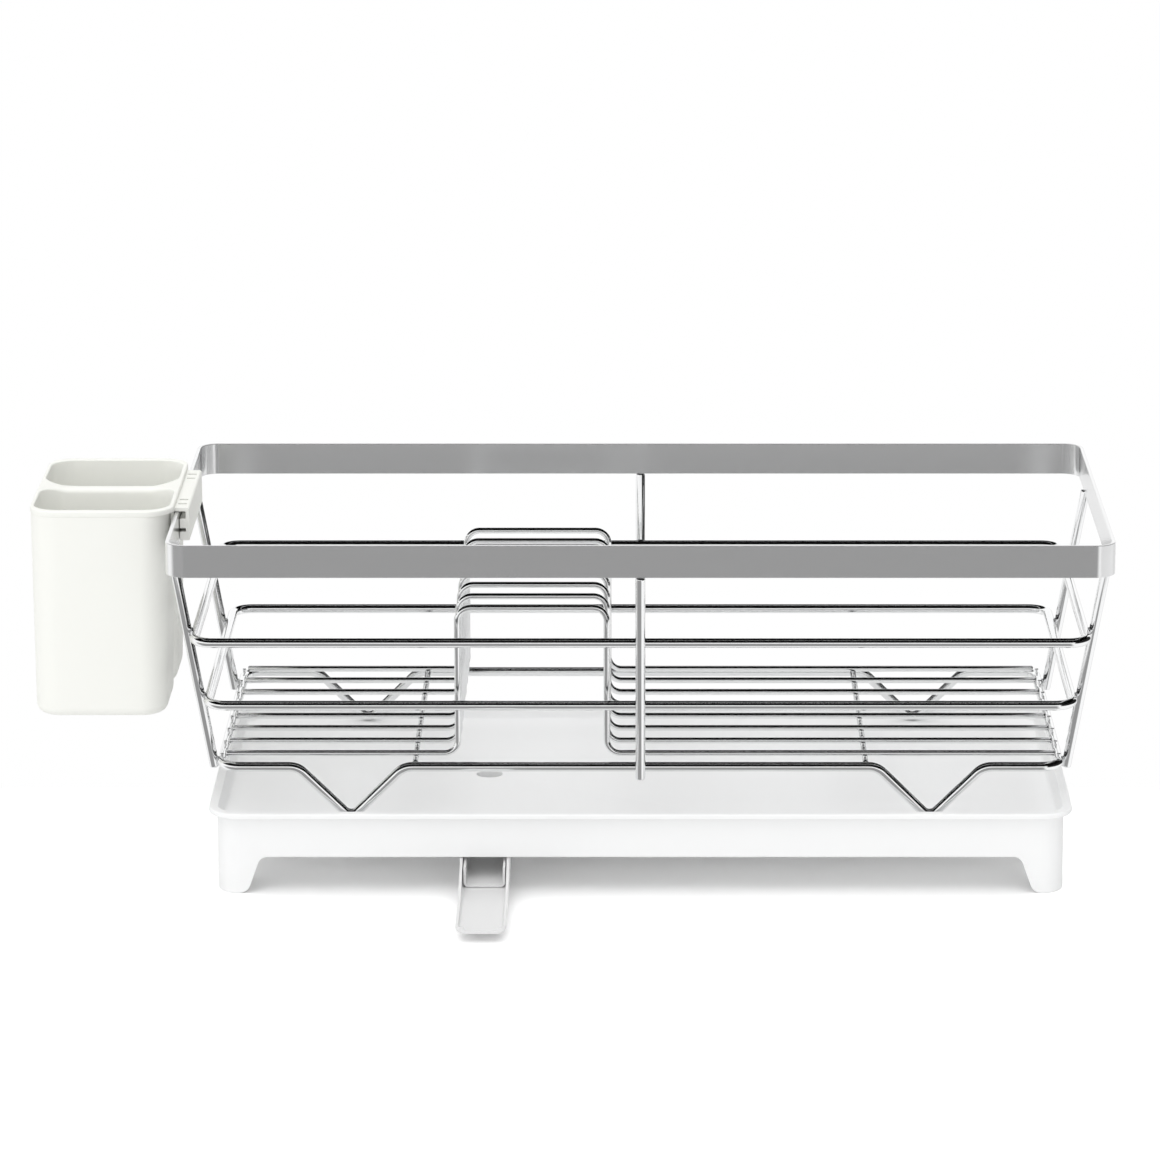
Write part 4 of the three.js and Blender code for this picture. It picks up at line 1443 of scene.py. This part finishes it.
class DRAINER_OT_hook(bpy.types.Operator):
    """Add the hook that hangs the caddy over the rim"""

    bl_idname = "drainer.hook"
    bl_label = "Caddy hook"

    def execute(self, context):
        sizes = context.scene.drainer.caddy
        wall = sizes.hook_wall
        left, right = HOOK_LOW.x, HOOK_HIGH.x
        top, bottom = HOOK_HIGH.z, HOOK_LOW.z
        bend = sizes.hook_bend
        inside = bend / 3
        face = right - wall
        inner_end = top - sizes.hook_inner_drop
        rib = face - sizes.hook_rib
        upper = top - sizes.hook_rib_drop
        groove_top = upper - sizes.hook_rib_height
        groove_low = groove_top - sizes.hook_rib_gap
        outline = flat_path([
            (left, bottom, inside), (left + wall, bottom, inside), (left + wall, top - wall, inside),
            (face, top - wall, inside), (face, upper, 0), (rib, upper, inside),
            (rib, groove_top, inside), (face, groove_top, 0), (face, groove_low, 0),
            (rib, groove_low, inside), (rib, inner_end, inside),
            (right, inner_end, inside), (right, top, bend), (left, top, inside),
        ], closed=True)
        rings = [upright(outline, y) for y in (HOOK_HIGH.y, HOOK_LOW.y)]
        piece = add_piece("hook_clip", skin(rings))
        middle = (HOOK_LOW.y + HOOK_HIGH.y) / 2
        half = sizes.hook_slot_width / 2
        tools = []
        for row in (-1, 1):
            for slot in range(2):
                y = middle + row * (sizes.hook_slot_start + slot * sizes.hook_slot_pitch)
                tools.append(block(
                    "slot",
                    Vector((face - sizes.hook_slot_length, y - half, top - 2 * wall)),
                    Vector((face, y + half, top + wall)),
                ))
        cut(piece, tools)
        shade_moulding(piece, CREASE, sizes.edge / 3)
        finish_piece(piece, "caddy_plastic", "caddy", "caddy_hook")
        return {"FINISHED"}


# Studio


class DRAINER_OT_stage(bpy.types.Operator):
    """Add the camera, the floor, the soft lamp and the light from all round"""

    bl_idname = "drainer.stage"
    bl_label = "Studio"

    def execute(self, context):
        studio = context.scene.drainer.studio
        self.add_camera(context, studio)
        self.add_floor(studio)
        self.add_lamp(context, studio)
        self.set_world(context, studio)
        context.scene.view_settings.view_transform = "Standard"
        return {"FINISHED"}

    def add_camera(self, context, studio):
        """The photograph's camera, level across and tilted down."""
        lens = bpy.data.cameras.new("camera")
        lens.sensor_width = 36.0
        lens.lens = lens.sensor_width * studio.lens / IMAGE_SIDE
        lens.shift_x = 0.5 - studio.axis / IMAGE_SIDE
        lens.clip_start = 0.1
        lens.clip_end = 50.0
        camera = place_piece("camera", lens)
        camera.location = RACK + Vector(studio.camera)
        camera.rotation_euler = (QUARTER - studio.tilt, 0, 0)
        context.scene.camera = camera

    def add_floor(self, studio):
        """A floor that the camera sees as white, with the object's soft shadow in front, lifted by
        painted light under the tray.
        """
        corners = [flat(x * studio.floor_reach, y * studio.floor_reach) for x, y in SQUARE]
        mesh = bpy.data.meshes.new("floor")
        mesh.from_pydata(corners, [], [(0, 1, 2, 3)])
        floor = place_piece("floor", mesh)
        material, tree = new_material("studio_floor")
        to_camera = add_node(tree, "ShaderNodeLightPath").outputs["Is Camera Ray"]
        axes = add_node(tree, "ShaderNodeSeparateXYZ", {0: coordinates(tree)}).outputs
        under, behind = [
            faded(tree, axes[1], *(RACK.y + offset for offset in offsets))
            for offsets in (PAINTED_LIGHT_UNDER_TRAY, BEHIND_TRAY)
        ]
        # Painted light: towards the tray the camera sees the floor whiter, which lifts the tray's
        # shadow under it.
        camera_whiteness_with_painted_light = blended(tree, under, studio.floor_shown, studio.floor_under_painted_light)
        bounce = blended(tree, to_camera, studio.floor_bounce, camera_whiteness_with_painted_light)
        lit = add_node(tree, "ShaderNodeBsdfDiffuse", {"Color": bounce}).outputs[0]
        plain = add_node(tree, "ShaderNodeEmission", {"Strength": 1.0}).outputs[0]
        shown = both(tree, behind, to_camera)
        seen = add_node(tree, "ShaderNodeMixShader", {0: shown, 1: lit, 2: plain}).outputs[0]
        add_node(tree, "ShaderNodeOutputMaterial", {0: seen})
        floor.data.materials.append(material)
        floor.visible_glossy = False

    def add_lamp(self, context, studio):
        """A large soft lamp in front, above and a little to the left."""
        lamp = bpy.data.lights.new("key", "SUN")
        lamp.angle = math.radians(50)
        lamp.energy = studio.key
        key = place_piece("key", lamp)
        key.rotation_euler = TOWARDS_KEY.to_track_quat("Z", "Y").to_euler()
        key.visible_glossy = False

    def set_world(self, context, studio):
        """White to the camera; to steel, a white studio under a dark roof."""
        world = bpy.data.worlds.new("studio")
        world.use_nodes = True
        tree = world.node_tree
        tree.nodes.clear()
        rays = add_node(tree, "ShaderNodeLightPath").outputs
        way = coordinates(tree, "Generated")
        axes = add_node(tree, "ShaderNodeSeparateXYZ", {0: way}).outputs
        light = self.soft_light(tree, axes, studio)
        mirrored_room = self.mirrored_room(tree, axes, studio)
        seen = blended(tree, rays["Is Glossy Ray"], light, mirrored_room)
        shown = blended(tree, rays["Is Camera Ray"], seen, 1.0)
        background = add_node(tree, "ShaderNodeBackground", {"Color": shown})
        add_node(tree, "ShaderNodeOutputWorld", {0: background.outputs[0]})
        context.scene.world = world

    def soft_light(self, tree, axes, studio):
        """Light from all round, stronger low in front, overhead and to the left."""
        low = both(tree, faded(tree, axes[2], *LOW_LIGHT), faded(tree, axes[1], *IN_FRONT))
        front = blended(tree, low, studio.room, studio.front)
        level = blended(tree, faded(tree, axes[2], *HIGH_LIGHT), front, studio.roof)
        side = add_node(
            tree, "ShaderNodeMapRange",
            {0: axes[0], 1: -1.0, 2: 1.0, 3: 1 + studio.lean, 4: 1 - studio.lean},
        ).outputs[0]
        return both(tree, level, side)

    def mirrored_room(self, tree, axes, studio):
        """The studio as steel mirrors it, by direction: white round a grey table, dark roof."""
        def between(first, first_ends, second, second_ends):
            """How far two axes of the direction have both gone from a start to an end."""
            part = faded(tree, axes[first], *first_ends)
            return both(tree, part, faded(tree, axes[second], *second_ends))

        roof = faded(tree, scaled_sum(tree, axes[1], ROOF_TILT, axes[2]), *ROOF)
        below = faded(tree, axes[2], *HORIZON)
        pale = blended(tree, below, studio.wall_white, studio.floor_white)
        pale = blended(tree, between(2, HORIZON, 1, BEHIND), pale, WHITE_BEHIND)
        front, near = between(1, IN_FRONT, 0, TABLE_RIGHT), between(2, HORIZON, 2, TABLE_NEAR)
        grey = blended(tree, both(tree, front, near), pale, studio.floor_grey)
        walls = blended(tree, between(0, TABLE_LEFT, 2, TABLE_FAR), grey, studio.floor_white)
        room = blended(tree, between(0, DARK_SIDE, 2, DARK_SIDE_LOW), walls, DARK_GREY)
        return blended(tree, roof, room, 0.0)


GROUPS = ("wires", "rim", "tray", "spout", "caddy", "finishes", "studio")
STEPS = (
    "stage", "tray", "channel", "trough", "rim", "rings", "rods", "floor_wires", "welds",
    "caddy", "hook",
)


class DRAINER_PT_panel(bpy.types.Panel):
    """The drainer's pieces and sizes"""

    bl_idname = "DRAINER_PT_panel"
    bl_label = "Dish drainer"
    bl_space_type = "VIEW_3D"
    bl_region_type = "UI"
    bl_category = "Drainer"

    def draw(self, context):
        for step in STEPS:
            self.layout.operator("drainer." + step)
        for name in GROUPS:
            group = getattr(context.scene.drainer, name)
            box = self.layout.box()
            box.label(text=name.capitalize())
            for key in group.__annotations__:
                box.prop(group, key)


CLASSES = (
    DrainerWireSizes, DrainerRimSizes, DrainerTraySizes, DrainerSpoutSizes, DrainerCaddySizes,
    DrainerFinishes, DrainerStudio, DrainerSettings,
    DRAINER_OT_stage, DRAINER_OT_tray, DRAINER_OT_channel, DRAINER_OT_trough, DRAINER_OT_rim,
    DRAINER_OT_rings, DRAINER_OT_rods, DRAINER_OT_floor_wires, DRAINER_OT_welds,
    DRAINER_OT_caddy, DRAINER_OT_hook, DRAINER_PT_panel,
)


def register():
    """Registers the classes and hangs the settings on the scene."""
    for item in CLASSES:
        bpy.utils.register_class(item)
    bpy.types.Scene.drainer = PointerProperty(type=DrainerSettings)


def unregister():
    """Takes the settings and the classes away again."""
    del bpy.types.Scene.drainer
    for item in reversed(CLASSES):
        bpy.utils.unregister_class(item)


def main():
    """Builds every piece and the studio."""
    register()
    for step in STEPS:
        getattr(bpy.ops.drainer, step)()


if __name__ == "__main__":
    main()
